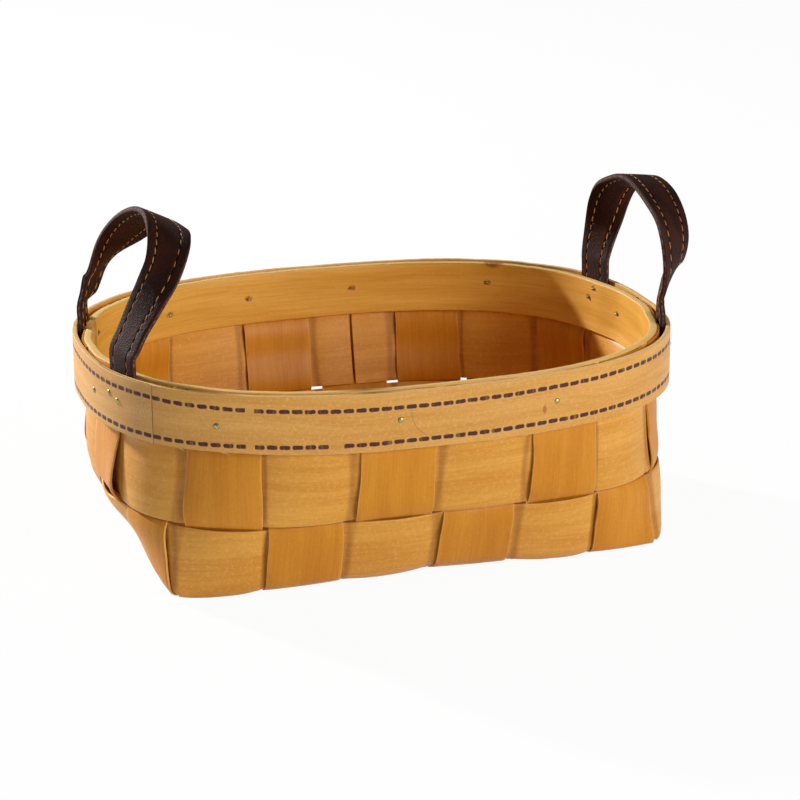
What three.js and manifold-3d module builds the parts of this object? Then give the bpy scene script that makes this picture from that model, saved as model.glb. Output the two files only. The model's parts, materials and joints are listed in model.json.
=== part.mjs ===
// Storage basket of thin wood strips in a plain weave, held by two bentwood hoops,
// with two leather strap handles. Millimetres, +Z up, origin on the table under the
// middle of the floor, +X along the length and +Y to the back.
import * as THREE from "three";
import { mergeVertices } from "three/addons/utils/BufferGeometryUtils.js";
import Module from "manifold-3d";

const wasm = await Module();
wasm.setup();

// Hoops
const hoopLength = 225;
const hoopWidth = 180;
const height = 80;
const hoopHeight = 21.5;
const innerHoopRise = 0.9;
const outerHoopThickness = 1.8;
const innerHoopThickness = 3.2;
const hoopBevel = 0.35;
const innerHoopBevel = 0.6;
const outlinePowerShare = 2.52;
const scarfLength = 34;
const scarfGap = 0.3;
const scarfTip = 0.25;
const scarfPlaceShare = 0.8385;
const innerHoopOpening = 11.5;
const innerHoopOpeningOffset = 4.5;

// Strips and weavers
const stripThickness = 0.8;
const weaveGap = 0.3;
const crossStripSpacing = 5.1;
const longStripSpacing = 4.6;
const edgeLongStripSpacing = 6.2;
const weaverSpacing = 1.2;
const weaverTurn = 0.6;
const upperWeaverShare = 0.5086;
const lowerWeaverShare = 0.4724;
const stakeDrop = 1.4;
const buttGap = 1;

// Body
const lengthTaper = 37.2;
const widthTaper = 56.8;
const bodyDrop = 0.5;
const slotAtSides = 0.35;
const cornerFillet = 3.4;
const cornerClear = 2.8;
const cornerBend = 2.6;
const rimCornerShare = 0.595;

// Straps
const strapWidth = 16;
const strapThickness = 2.2;
const strapCorner = 0.5;
const footClear = 0.6;
const footDepth = 18;
const footRise = 5.7;
const hingeClear = 0.35;
const footStraight = 0.5;
const loopStem = 4.5;
const leftFrontFootOffset = 4.6;
const leftRearFootOffset = 2.6;
const leftHandleRise = 56;
const rightFrontFootOffset = -0.8;
const rightRearFootOffset = 1.6;
const rightHandleRise = 48;

// Nails
const nailHeadDiameter = 2.3;
const nailHeadHeight = 0.45;
const nailDiameter = 1;
const nailSeatGap = 0.15;
const nailHoleGap = 0.3;
const nailTailLength = 2.2;
const nailTailGap = 0.3;
const cutOverrun = 2;

// Counts
const samples = 240;
const sectionSteps = 40;
const upperRows = 3;
const lowerRows = 4;
const cornerSteps = 4;
const hoopSteps = 66;
const scarfSteps = 5;
const footColumns = 4;
const loopSteps = 32;
const nailSides = 6;

const bodyTop = height - hoopHeight - bodyDrop;
const stakeTop = height - stakeDrop;
const hoopBottom = height - hoopHeight;
const innerHoopBottom = hoopBottom + innerHoopRise;
const baseLength = hoopLength - lengthTaper;
const baseWidth = hoopWidth - widthTaper;
const slotAtEnds = strapThickness + 2 * footClear;

const material = (colour, roughness, metalness = 0) =>
  new THREE.MeshStandardMaterial({ color: colour, roughness, metalness });
const crossWood = material(0xc98a34, 0.5);
const longWood = material(0xd09a48, 0.5);
const weaverWood = material(0xdba555, 0.45);
const outerHoopWood = material(0xd7a55a, 0.5);
const innerHoopWood = material(0xd09a3a, 0.5);
const leather = material(0x33190f, 0.6);
const brass = material(0xb9a468, 0.35, 1);

// Superellipse outline, one quarter from the middle of the long side to the middle of
// the short side, with the distance along it.
function quarterOutline(halfLength, halfWidth) {
  const points = [];
  let distance = 0;
  for (let step = 0; step <= samples; step += 1) {
    const angle = (step / samples) * Math.PI / 2;
    const x = halfLength * Math.sin(angle) ** (2 / outlinePowerShare);
    const y = halfWidth * Math.abs(Math.cos(angle)) ** (2 / outlinePowerShare);
    const last = points[points.length - 1];
    distance += last ? Math.hypot(x - last.x, y - last.y) : 0;
    points.push({ x, y, distance });
  }
  points[samples].y = 0;
  return { halfLength, halfWidth, points, quarter: distance };
}

// Point and outward normal at a distance from the middle of the long side.
function quarterPoint(outline, distance) {
  const { points, halfLength, halfWidth, quarter } = outline;
  const wanted = Math.min(Math.max(distance, 0), quarter);
  let index = 1;
  while (index < samples && points[index].distance < wanted) {
    index += 1;
  }
  const a = points[index - 1];
  const b = points[index];
  const share = (wanted - a.distance) / (b.distance - a.distance);
  const x = THREE.MathUtils.lerp(a.x, b.x, share);
  const y = THREE.MathUtils.lerp(a.y, b.y, share);
  const power = outlinePowerShare - 1;
  const normal = new THREE.Vector2(
    (x / halfLength) ** power / halfLength,
    (y / halfWidth) ** power / halfWidth,
  ).normalize();
  return { x, y, normal };
}

// The same all the way round, counted from the front middle towards +X.
function ringPoint(outline, distance) {
  const turn = 4 * outline.quarter;
  const along = ((distance % turn) + turn) % turn;
  const quadrant = Math.min(Math.floor(along / outline.quarter), 3);
  const local = [along, 2 * outline.quarter - along, along - 2 * outline.quarter, turn - along][quadrant];
  const signX = quadrant < 2 ? 1 : -1;
  const signY = quadrant === 1 || quadrant === 2 ? 1 : -1;
  const { x, y, normal } = quarterPoint(outline, local);
  return {
    point: new THREE.Vector2(signX * x, signY * y),
    normal: new THREE.Vector2(signX * normal.x, signY * normal.y),
  };
}

const hoopOutline = quarterOutline(hoopLength / 2, hoopWidth / 2);
const stakeHalfLength = hoopLength / 2 - outerHoopThickness - slotAtEnds;
const stakeHalfWidth = hoopWidth / 2 - outerHoopThickness - slotAtSides;
const stakeOutline = quarterOutline(stakeHalfLength, stakeHalfWidth);
const footOutline = quarterOutline(stakeHalfLength + slotAtEnds / 2, stakeHalfWidth + slotAtSides / 2);
const cornerDistance = rimCornerShare * stakeOutline.quarter;

// The long and the short sides of the body. Each lists how far the wall reaches from the
// middle: where the floor ends, the two control points of the bent wall and their heights,
// as shares of the base or of the rim half size.
const longSide = {
  halfAcross: baseLength / 2,
  halfReach: baseWidth / 2,
  span: cornerDistance,
  rimAt: (distance) => quarterPoint(stakeOutline, distance),
  lateral: (rim) => rim.x,
  reach: (rim) => rim.y,
  rimHalf: stakeHalfWidth,
  flatShare: 0.455,
  rootShare: 0.797,
  bellyShare: 0.933,
  rootHeightShare: 0.034,
  bowPowerShare: 4.5,
  cornerBellyShare: 0.995,
};
const shortSide = {
  halfAcross: baseWidth / 2,
  halfReach: baseLength / 2,
  span: stakeOutline.quarter - cornerDistance,
  rimAt: (distance) => quarterPoint(stakeOutline, stakeOutline.quarter - distance),
  lateral: (rim) => rim.y,
  reach: (rim) => rim.x,
  rimHalf: stakeHalfLength,
  flatShare: 0.764,
  rootShare: 0.941,
  bellyShare: 1.025,
  rootHeightShare: 0.026,
  bowPowerShare: 3.5,
  cornerBellyShare: 0.997,
};
longSide.other = shortSide;
shortSide.other = longSide;
const bellyHeightShare = 0.466;
const cornerBellyHeightShare = 0.5;
const middleJoinShare = 0.5;

// The wall's section at a share of the way from the middle (0) to a corner (1), as a
// list of reach and height from the rim line down to the middle of the floor.
const sections = new Map();
function wallSection(side, share) {
  const key = `${side === longSide}${Math.abs(share).toFixed(6)}`;
  if (sections.has(key)) {
    return sections.get(key);
  }
  const away = Math.min(Math.abs(share), 1);
  const bow = 1 - away ** side.bowPowerShare;
  const mix = (corner, middle) => THREE.MathUtils.lerp(corner, middle, bow);
  const rim = side.rimAt(away * side.span);
  const toe = new THREE.Vector2(mix(side.halfReach - cornerFillet, side.flatShare * side.rimHalf), 0);
  const root = new THREE.Vector2(
    mix(side.halfReach, side.rootShare * side.rimHalf),
    mix(0, side.rootHeightShare * bodyTop),
  );
  const belly = new THREE.Vector2(
    mix(side.cornerBellyShare * side.halfReach, side.bellyShare * side.rimHalf),
    mix(cornerBellyHeightShare, bellyHeightShare) * bodyTop,
  );
  const join = root.clone().lerp(belly, mix(cornerFillet / (cornerBellyHeightShare * bodyTop), middleJoinShare));
  const edge = new THREE.Vector2(side.reach(rim), bodyTop);
  const upper = new THREE.QuadraticBezierCurve(edge, belly, join).getPoints(sectionSteps);
  const lower = new THREE.QuadraticBezierCurve(join, root, toe).getPoints(sectionSteps);
  const points = [...upper, ...lower.slice(1), new THREE.Vector2(0, 0)];
  let distance = 0;
  points.forEach((point, index) => {
    distance += index > 0 ? point.distanceTo(points[index - 1]) : 0;
    point.distance = distance;
  });
  const section = { points, rimLateral: side.lateral(rim) };
  sections.set(key, section);
  return section;
}

function between(points, key, wanted) {
  let index = 1;
  const rising = points[points.length - 1][key] > points[0][key];
  const before = (point) => (rising ? point[key] < wanted : point[key] > wanted);
  while (index < points.length - 1 && before(points[index])) {
    index += 1;
  }
  const a = points[index - 1];
  const b = points[index];
  const share = (wanted - a[key]) / (b[key] - a[key]);
  return {
    x: a.x + (b.x - a.x) * share,
    y: a.y + (b.y - a.y) * share,
    distance: a.distance + (b.distance - a.distance) * share,
  };
}

// Height of one side's floor edge, which also lifts the strips that pass under it.
function floorLift(side, share, reach) {
  const { points } = wallSection(side, Math.min(share, 1));
  const floorward = points.slice(sectionSteps);
  return Math.max(between(floorward, "x", Math.min(reach, floorward[0].x)).y, 0);
}

const walls = {
  front: { side: longSide, place: (lateral, reach, z) => new THREE.Vector3(lateral, -reach, z) },
  back: { side: longSide, place: (lateral, reach, z) => new THREE.Vector3(lateral, reach, z) },
  left: { side: shortSide, place: (lateral, reach, z) => new THREE.Vector3(-reach, lateral, z) },
  right: { side: shortSide, place: (lateral, reach, z) => new THREE.Vector3(reach, lateral, z) },
};

// A point of the body's outer face: share across the wall, distance down from the line
// at bodyTop and on along the floor.
const liftFadeShare = 0.2;
function bodyPoint(wall, share, down) {
  const { side, place } = wall;
  const section = wallSection(side, share);
  const at = down < 0 ? { x: section.points[0].x, y: bodyTop - down } : between(section.points, "distance", down);
  const rimLateral = Math.sign(share) * section.rimLateral;
  const climb = Math.min(Math.max(at.y / bodyTop, 0), 1);
  const lateral = THREE.MathUtils.lerp(share * side.halfAcross, rimLateral, climb);
  const fade = 1 - THREE.MathUtils.smoothstep(climb, liftFadeShare / 4, liftFadeShare);
  const lift = fade > 0
    ? fade * floorLift(side.other, Math.abs(at.x) / side.other.halfAcross, Math.abs(lateral))
    : 0;
  return place(lateral, at.x, at.y + lift);
}

// Normal of the body's face, pointing into the basket.
const middle = new THREE.Vector3(0, 0, bodyTop);
const shareStep = 0.002;
const downStep = stripThickness / 4;
function bodyNormal(wall, share, down) {
  const across = bodyPoint(wall, share + shareStep, down).sub(bodyPoint(wall, share - shareStep, down));
  const along = bodyPoint(wall, share, down + downStep).sub(bodyPoint(wall, share, down - downStep));
  const normal = across.cross(along).normalize();
  const inward = middle.clone().sub(bodyPoint(wall, share, down));
  return normal.dot(inward) < 0 ? normal.negate() : normal;
}

const sunk = (wall, share, down, depth) =>
  bodyPoint(wall, share, down).addScaledVector(bodyNormal(wall, share, down), depth);

// One closed body from a grid of outer points and a grid of inner points. Rows that are
// crossed have the other diagonal.
function slab(outer, inner, crossed = () => false) {
  const rows = outer.length;
  const columns = outer[0].length;
  const points = [...outer.flat(), ...inner.flat()];
  const triangles = [];
  const at = (layer, row, column) => layer * rows * columns + row * columns + column;
  const quad = (a, b, c, d) => triangles.push(a, b, c, a, c, d);
  for (let row = 0; row < rows - 1; row += 1) {
    for (let column = 0; column < columns - 1; column += 1) {
      const corners = [[row, column], [row + 1, column], [row + 1, column + 1], [row, column + 1]];
      const turned = crossed(row) ? [...corners.slice(1), corners[0]] : corners;
      const [a, b, c, d] = turned.map((corner) => at(0, ...corner));
      const [e, f, g, h] = turned.map((corner) => at(1, ...corner));
      quad(a, b, c, d);
      quad(g, f, e, h);
    }
  }
  for (let row = 0; row < rows - 1; row += 1) {
    quad(at(1, row, 0), at(1, row + 1, 0), at(0, row + 1, 0), at(0, row, 0));
    const last = columns - 1;
    quad(at(0, row, last), at(0, row + 1, last), at(1, row + 1, last), at(1, row, last));
  }
  for (let column = 0; column < columns - 1; column += 1) {
    quad(at(0, 0, column), at(0, 0, column + 1), at(1, 0, column + 1), at(1, 0, column));
    const last = rows - 1;
    quad(at(1, last, column), at(1, last, column + 1), at(0, last, column + 1), at(0, last, column));
  }
  return solidGeometry(points, triangles);
}

// Indexed geometry whose faces point out.
function solidGeometry(points, triangles) {
  let volume = 0;
  for (let index = 0; index < triangles.length; index += 3) {
    const [a, b, c] = [0, 1, 2].map((corner) => points[triangles[index + corner]]);
    volume += a.dot(b.clone().cross(c));
  }
  const outward = volume > 0 ? triangles : triangles.slice().reverse();
  const geometry = new THREE.BufferGeometry();
  geometry.setAttribute("position", new THREE.Float32BufferAttribute(points.flatMap((p) => [p.x, p.y, p.z]), 3));
  geometry.setIndex(outward);
  return geometry;
}

// Places of the strips: centres as shares of the way from the middle to the corners. The
// strips fill each side but for their spacings.
const innerCrossCentreShares = [-0.617, -0.2033, 0.2081, 0.622];
const crossPitchShare = 0.4139;
const innerLongCentreShare = 0.329;
const shareOf = (side, size) => 2 * size / (side.halfAcross + side.span);
const crossEdgeShare = 1 - cornerClear / longSide.span;
const crossHalfShare = (crossPitchShare * crossEdgeShare - shareOf(longSide, crossStripSpacing))
  / (2 + crossPitchShare);
const outerCrossShare = crossEdgeShare - crossHalfShare;
const longEdgeShare = 1 - cornerClear / shortSide.span;
const longInnerSpacingShare = shareOf(shortSide, longStripSpacing) / 2;
const longOuterSpacingShare = shareOf(shortSide, edgeLongStripSpacing);
const edgeLongHalfShare = (longEdgeShare * (1 - 2 * innerLongCentreShare) - longOuterSpacingShare
  + longInnerSpacingShare) / (2 - 2 * innerLongCentreShare);
const outerLongShare = longEdgeShare - edgeLongHalfShare;
const longHalfShare = innerLongCentreShare * outerLongShare - longInnerSpacingShare;
const crossStrips = [-1, ...innerCrossCentreShares, 1].map((centre, index) => ({
  number: index + 1,
  centre: centre * outerCrossShare,
  half: crossHalfShare,
}));
const longStrips = [-1, -innerLongCentreShare, innerLongCentreShare, 1].map((centre, index) => ({
  number: index + 1,
  centre: centre * outerLongShare,
  half: Math.abs(centre) === 1 ? edgeLongHalfShare : longHalfShare,
}));
const columnsOf = (strip) => [strip.centre - strip.half, strip.centre, strip.centre + strip.half];

// In the plain weave a cross strip lies outside where its number and the number of the
// piece along the length add up to an even sum. The weavers count as the numbers before
// the first strip and after the last.
const insideDepth = stripThickness + weaveGap;
const crossDepth = (cross, long) => ((cross + long) % 2 === 0 ? 0 : insideDepth);
const longDepth = (cross, long) => ((cross + long) % 2 === 0 ? insideDepth : 0);

// Rows of the two weavers, as distances down from bodyTop. The upper one ends just under
// the inner hoop.
const spread = (from, to, steps) => Array.from({ length: steps + 1 }, (_, i) => from + (to - from) * (i / steps));
const upperStart = bodyTop - innerHoopBottom + weaveGap;
const upperEnd = upperStart + upperWeaverShare * bodyTop;
const lowerStart = upperEnd + weaverSpacing;
const lowerEnd = lowerStart + lowerWeaverShare * bodyTop;
const upperDowns = spread(upperStart, upperEnd, upperRows);
const lowerDowns = spread(lowerStart, lowerEnd, lowerRows);

// One strip from a rim, down the wall, across the floor and up to the other rim.
function stripGeometry(strip, wallPair, crossings, depthAt, turned) {
  const [nearWall, farWall] = wallPair;
  const { side } = nearWall;
  const floorDown = (share, reach) => {
    const { points } = wallSection(side, share);
    return between(points.slice(sectionSteps), "x", reach).distance;
  };
  const wallRows = (wall, upper, lower) => [
    { wall, down: () => bodyTop - stakeTop, depth: 0 },
    { wall, down: () => upperStart - weaverTurn, depth: 0 },
    ...upperDowns.map((down) => ({ wall, down: () => down, depth: upper })),
    ...lowerDowns.map((down) => ({ wall, down: () => down, depth: lower })),
  ];
  const floorRows = crossings.flatMap((crossing, index) => {
    const depth = depthAt(index + 1);
    return columnsOf(crossing).map((share) => {
      const place = share * side.other.halfAcross;
      const wall = place < 0 ? nearWall : farWall;
      return { wall, down: (across) => floorDown(across, Math.abs(place)), depth, floor: true };
    });
  });
  const bend = (row, outermost) => ({
    wall: row.wall,
    down: (across) => (outermost.down(across) + lowerEnd) / 2,
    depth: (row.depth + outermost.depth) / 2,
  });
  const near = wallRows(nearWall, depthAt(-1), depthAt(0));
  const far = wallRows(farWall, depthAt(crossings.length + 2), depthAt(crossings.length + 1)).reverse();
  const rows = [
    ...near,
    bend(near[near.length - 1], floorRows[0]),
    ...floorRows,
    bend(far[0], floorRows[floorRows.length - 1]),
    ...far,
  ];
  const shares = turned ? columnsOf(strip).reverse() : columnsOf(strip);
  const face = (extra) => rows.map((row) => shares.map((share) =>
    sunk(row.wall, share, row.down(share), row.depth + extra)));
  const crossed = (row) => turned && Boolean(rows[row].floor);
  return slab(face(0), face(stripThickness), crossed);
}

// Stations round the body, counted from the front left corner towards +X. The front and
// the right wall are passed from low shares to high ones and the others back again.
const wallStations = (wall, strips, way) => {
  const bendShare = 1 - cornerBend / wall.side.span;
  const passed = strips.flatMap((strip) => columnsOf(strip).map((share) => ({ wall, share, strip: strip.number })));
  const run = [
    { wall, share: -bendShare, strip: strips[0].number },
    ...passed,
    { wall, share: bendShare, strip: strips[strips.length - 1].number },
  ];
  return way > 0 ? run : run.reverse();
};
const stationRuns = [
  wallStations(walls.front, crossStrips, 1),
  wallStations(walls.right, longStrips, 1),
  wallStations(walls.back, crossStrips, -1),
  wallStations(walls.left, longStrips, -1),
];
const stations = stationRuns.flatMap((run, index) => {
  const next = stationRuns[(index + 1) % stationRuns.length][0];
  const from = run[run.length - 1];
  const corner = Array.from({ length: cornerSteps - 1 }, (_, step) =>
    ({ from, to: next, part: (step + 1) / cornerSteps }));
  return [...run, ...corner];
});

// Where the two walls' faces would meet at a corner, sunk by a depth.
function cornerPoint(from, to, down, depth) {
  const a = bodyPoint(from.wall, Math.sign(from.share), down);
  const b = bodyPoint(to.wall, Math.sign(to.share), down);
  const normalA = bodyNormal(from.wall, from.share, down);
  const normalB = bodyNormal(to.wall, to.share, down);
  const long = from.wall.side === longSide ? a : b;
  const short = from.wall.side === longSide ? b : a;
  const meet = new THREE.Vector3(short.x, long.y, (a.z + b.z) / 2);
  const miter = normalA.clone().add(normalB).divideScalar(1 + normalA.dot(normalB));
  return meet.addScaledVector(miter, depth);
}

function stationPoint(station, down, depthOf, extra) {
  if (station.wall) {
    return sunk(station.wall, station.share, down, depthOf(station) + extra);
  }
  const { from, to, part } = station;
  const start = stationPoint(from, down, depthOf, extra);
  const end = stationPoint(to, down, depthOf, extra);
  const control = cornerPoint(from, to, down, (depthOf(from) + depthOf(to)) / 2 + extra);
  return new THREE.QuadraticBezierCurve3(start, control, end).getPoint(part);
}

// A weaver goes once round the body and butts against its own start under a back strip.
function weaverGeometry(downs, numbers, seamStrip) {
  const depthOf = (station) => {
    const { wall, strip } = station;
    if (wall === walls.front || wall === walls.back) {
      return longDepth(strip, wall === walls.front ? numbers.front : numbers.back);
    }
    return crossDepth(wall === walls.left ? numbers.left : numbers.right, strip);
  };
  const seam = stations.findIndex((station) =>
    station.wall === walls.back && station.strip === seamStrip
    && Math.abs(station.share - crossStrips[seamStrip - 1].centre) < shareStep / 2);
  const gapShare = buttGap / 2 / longSide.span;
  const centre = stations[seam];
  const order = [
    { ...centre, share: centre.share - gapShare },
    ...stations.slice(seam + 1),
    ...stations.slice(0, seam),
    { ...centre, share: centre.share + gapShare },
  ];
  const face = (extra) => downs.map((down) => order.map((station) => stationPoint(station, down, depthOf, extra)));
  return slab(face(0), face(stripThickness));
}

// Hoops are bands with bevelled edges, given by the point and the outward normal of their
// outer face at each column and by the depths of both faces there.
function bandGeometry(columns, bottom, top, bevel) {
  const levels = [[bottom, bevel], [bottom + bevel, 0], [top - bevel, 0], [top, bevel]];
  const face = (pick) => levels.map(([z, ease]) => columns.map((column) => {
    const depth = pick(column, ease);
    const { point, normal } = column;
    return new THREE.Vector3(point.x - normal.x * depth, point.y - normal.y * depth, z);
  }));
  const thin = (column, ease) => Math.min(ease, (column.inner - column.outer) / 4);
  return slab(
    face((column, ease) => column.outer + thin(column, ease)),
    face((column, ease) => column.inner - thin(column, ease)),
  );
}

// The outer hoop is one strip whose thinned ends lap in a long scarf, each tip against a
// small step of the other end.
function outerHoopColumns() {
  const turn = 4 * hoopOutline.quarter;
  const start = scarfPlaceShare * turn - scarfLength;
  const places = [
    ...spread(0, scarfLength, scarfSteps),
    ...spread(scarfLength + scarfGap, turn - scarfGap, hoopSteps),
    ...spread(turn, turn + scarfLength, scarfSteps),
  ];
  const startFace = [outerHoopThickness - scarfTip, scarfTip + scarfGap];
  return places.map((place) => {
    const lapped = place <= scarfLength;
    const lapping = place >= turn;
    const outer = lapped ? THREE.MathUtils.lerp(...startFace, place / scarfLength) : 0;
    const inner = lapping
      ? THREE.MathUtils.lerp(...startFace, (place - turn) / scarfLength) - scarfGap
      : outerHoopThickness;
    return { ...ringPoint(hoopOutline, start + place), outer, inner };
  });
}
const hoopColumns = outerHoopColumns();

// Handles. The centre line lies in a leaning plane through both feet: shares of the half
// span along the chord and of the rise above the hoop. The nails of each foot have their
// place as a share of the strap's width and a share of the hoop's height.
const handles = [
  {
    name: "left",
    end: -1,
    frontOffset: leftFrontFootOffset,
    rearOffset: leftRearFootOffset,
    rise: leftHandleRise,
    lean: -21,
    loopShares: [
      [-1.01, 0.39], [-1.08, 0.61], [-1.12, 0.79], [-1.03, 0.91], [-0.78, 0.98],
      [-0.14, 1], [0.38, 0.9], [0.86, 0.68], [1.12, 0.43],
    ],
    frontNailShares: [[0.3, 0.633], [-0.04, 0.549]],
    rearNailShares: [[0.19, 0.4], [0.41, 0.72]],
  },
  {
    name: "right",
    end: 1,
    frontOffset: rightFrontFootOffset,
    rearOffset: rightRearFootOffset,
    rise: rightHandleRise,
    lean: 3.3,
    loopShares: [
      [-1.18, 0.52], [-1.09, 0.77], [-0.64, 0.95], [-0.07, 1],
      [0.41, 0.906], [0.745, 0.76], [0.94, 0.5],
    ],
    frontNailShares: [[-0.15, 0.581], [0.19, 0.605]],
    rearNailShares: [[-0.36, 0.87], [-0.12, 0.674]],
  },
];
// Place of a foot along the basket's end, beside the gap between two long strips, and the
// distance round an outline to there.
const footGapShare = ((innerLongCentreShare + 1) * outerLongShare + longHalfShare - edgeLongHalfShare) / 2;
const footGap = quarterPoint(stakeOutline, stakeOutline.quarter - footGapShare * shortSide.span).y;
const footPlace = (handle, sign) => sign * (footGap + (sign < 0 ? handle.frontOffset : handle.rearOffset));
function footDistance(outline, handle, y) {
  const fromEnd = handle.end > 0 ? outline.quarter : 3 * outline.quarter;
  let low = 0;
  let high = outline.quarter;
  for (let step = 0; step < sectionSteps; step += 1) {
    const half = (low + high) / 2;
    const reached = quarterPoint(outline, outline.quarter - half).y;
    if (reached < Math.abs(y)) {
      low = half;
    } else {
      high = half;
    }
  }
  return fromEnd + handle.end * Math.sign(y) * low;
}

// The inner hoop backs the strips, with a column at each station of the walls. Its ends
// leave an opening at one strap foot.
const stationDistance = ({ wall, share }) => {
  const quarter = stakeOutline.quarter;
  const away = share * wall.side.span;
  const places = new Map([
    [walls.front, away],
    [walls.right, quarter + away],
    [walls.back, 2 * quarter - away],
    [walls.left, 3 * quarter - away],
  ]);
  return places.get(wall);
};
function innerHoopColumns() {
  const turn = 4 * stakeOutline.quarter;
  const opening = footDistance(stakeOutline, handles[0], footPlace(handles[0], 1)) + innerHoopOpeningOffset;
  const corners = [cornerDistance, turn / 2 - cornerDistance, turn / 2 + cornerDistance, turn - cornerDistance];
  const from = opening + innerHoopOpening / 2;
  const to = from + turn - innerHoopOpening;
  const inside = [...stations.filter((station) => station.wall).map(stationDistance), ...corners]
    .map((distance) => from + ((((distance - from) % turn) + turn) % turn))
    .filter((distance) => distance > from + cornerClear && distance < to - cornerClear)
    .sort((a, b) => a - b);
  return [from, ...inside, to].map((distance) => ({
    ...ringPoint(stakeOutline, distance),
    outer: insideDepth,
    inner: insideDepth + innerHoopThickness,
  }));
}
const innerColumns = innerHoopColumns();

const footTop = height + footRise;
const hingeHeight = footTop + strapThickness / 2 + hingeClear;
const twistLengthShare = 0.3;

function hingeFrame(handle) {
  const ends = [-1, 1].map((sign) =>
    ringPoint(footOutline, footDistance(footOutline, handle, footPlace(handle, sign))).point);
  const origin = ends[0].clone().add(ends[1]).divideScalar(2);
  const along = ends[1].clone().sub(ends[0]);
  const halfSpan = along.length() / 2;
  along.normalize();
  const chord = new THREE.Vector3(along.x, along.y, 0);
  const outward = new THREE.Vector3(along.y, -along.x, 0).multiplyScalar(handle.end);
  const lean = THREE.MathUtils.degToRad(handle.lean);
  const up = new THREE.Vector3(0, 0, Math.cos(lean)).addScaledVector(outward, Math.sin(lean));
  const normal = outward.clone().multiplyScalar(Math.cos(lean)).add(new THREE.Vector3(0, 0, -Math.sin(lean)));
  return { origin: new THREE.Vector3(origin.x, origin.y, hingeHeight), halfSpan, chord, outward, up, normal, ends };
}

// The foot is a flat tab in the slot behind the outer hoop, which straightens above the
// hoop so that its top lies along the hinge.
const footBendShares = [[1 / 3, 0.35], [2 / 3, 0.8]];
function footGeometry(handle, sign) {
  const frame = hingeFrame(handle);
  const centre = footDistance(footOutline, handle, footPlace(handle, sign));
  const at = frame.ends[sign < 0 ? 0 : 1];
  const levels = [
    [height - footDepth, 0], [height - footDepth / 2, 0], [height + footStraight, 0],
    ...footBendShares.map(([rise, straight]) => [height + footRise * rise, straight]),
    [footTop - footStraight, 1], [footTop, 1],
  ];
  const offsets = spread(-strapWidth / 2, strapWidth / 2, footColumns);
  const face = (side) => levels.map(([z, straight]) => offsets.map((offset) => {
    const curved = ringPoint(footOutline, centre + handle.end * offset);
    const normal = curved.normal.clone().lerp(new THREE.Vector2(frame.outward.x, frame.outward.y), straight);
    normal.normalize();
    const flat = new THREE.Vector2(at.x + frame.chord.x * offset, at.y + frame.chord.y * offset);
    const point = curved.point.clone().lerp(flat, straight);
    const out = side * strapThickness / 2;
    return new THREE.Vector3(point.x + normal.x * out, point.y + normal.y * out, z);
  }));
  return slab(face(1), face(-1));
}

// The loop is one strap, flat against the hinge at both ends and turned a quarter by the
// top of the loop. Its ends are round about the hinge line.
function loopGeometry(handle) {
  const frame = hingeFrame(handle);
  const place = (along, up) => frame.origin.clone()
    .addScaledVector(frame.chord, along)
    .addScaledVector(frame.up, up);
  const footing = hingeHeight - height;
  const rise = handle.rise - footing;
  const route = [
    place(-frame.halfSpan, 0),
    place(-frame.halfSpan, loopStem),
    ...handle.loopShares.map(([along, up]) => place(along * frame.halfSpan, up * handle.rise - footing)),
    place(frame.halfSpan, loopStem),
    place(frame.halfSpan, 0),
  ];
  const curve = new THREE.CatmullRomCurve3(route, false, "centripetal");
  const heart = place(0, rise / 2);
  const rings = [];
  const ring = (point, tangent, twist, thin) => {
    const radial = point.clone().sub(heart);
    radial.addScaledVector(tangent, -radial.dot(tangent));
    radial.addScaledVector(frame.normal, -radial.dot(frame.normal)).normalize();
    const thickness = frame.normal.clone().multiplyScalar(Math.cos(twist))
      .addScaledVector(radial, Math.sin(twist));
    const width = tangent.clone().cross(thickness).normalize();
    const halfThick = thin * strapThickness / 2;
    const ease = Math.min(strapCorner, halfThick / 2);
    const corners = [
      [-1, 0, 1], [-1, 1, 0], [1, 1, 0], [1, 0, 1], [1, 0, -1], [1, -1, 0], [-1, -1, 0], [-1, 0, -1],
    ];
    const shape = corners.map(([across, edge, side]) => {
      const wide = edge === 0 ? strapWidth / 2 : strapWidth / 2 - ease;
      const thick = edge === 0 ? side * (halfThick - ease) : edge * halfThick;
      return point.clone().addScaledVector(width, across * wide).addScaledVector(thickness, thick);
    });
    rings.push(shape);
  };
  const capShares = [0.97, 0.72, 0.36];
  const endCap = (sign, order) => order.forEach((share) => {
    const point = place(sign * frame.halfSpan, -share * strapThickness / 2);
    ring(point, frame.up.clone().multiplyScalar(-sign), 0, Math.sqrt(1 - share * share));
  });
  endCap(-1, capShares);
  for (let step = 0; step <= loopSteps; step += 1) {
    const part = step / loopSteps;
    const twistPart = Math.min(Math.min(part, 1 - part) / twistLengthShare, 1);
    const twist = THREE.MathUtils.smoothstep(twistPart, 0, 1) * Math.PI / 2;
    ring(curve.getPointAt(part), curve.getTangentAt(part), twist, 1);
  }
  endCap(1, [...capShares].reverse());
  return tubeGeometry(rings);
}

// A closed tube through rings of matching points, with flat ends.
function tubeGeometry(rings) {
  const count = rings[0].length;
  const points = rings.flat();
  const triangles = [];
  for (let row = 0; row < rings.length - 1; row += 1) {
    for (let index = 0; index < count; index += 1) {
      const next = (index + 1) % count;
      const a = row * count + index;
      const b = row * count + next;
      triangles.push(a, b, b + count, a, b + count, a + count);
    }
  }
  const last = (rings.length - 1) * count;
  for (let index = 1; index < count - 1; index += 1) {
    triangles.push(0, index + 1, index);
    triangles.push(last, last + index, last + index + 1);
  }
  return solidGeometry(points, triangles);
}

// Solids for cuts, and back.
function toManifold(geometry) {
  const merged = mergeVertices(geometry);
  return new wasm.Manifold(new wasm.Mesh({
    numProp: 3,
    vertProperties: new Float32Array(merged.attributes.position.array),
    triVerts: new Uint32Array(merged.index.array),
  }));
}

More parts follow.
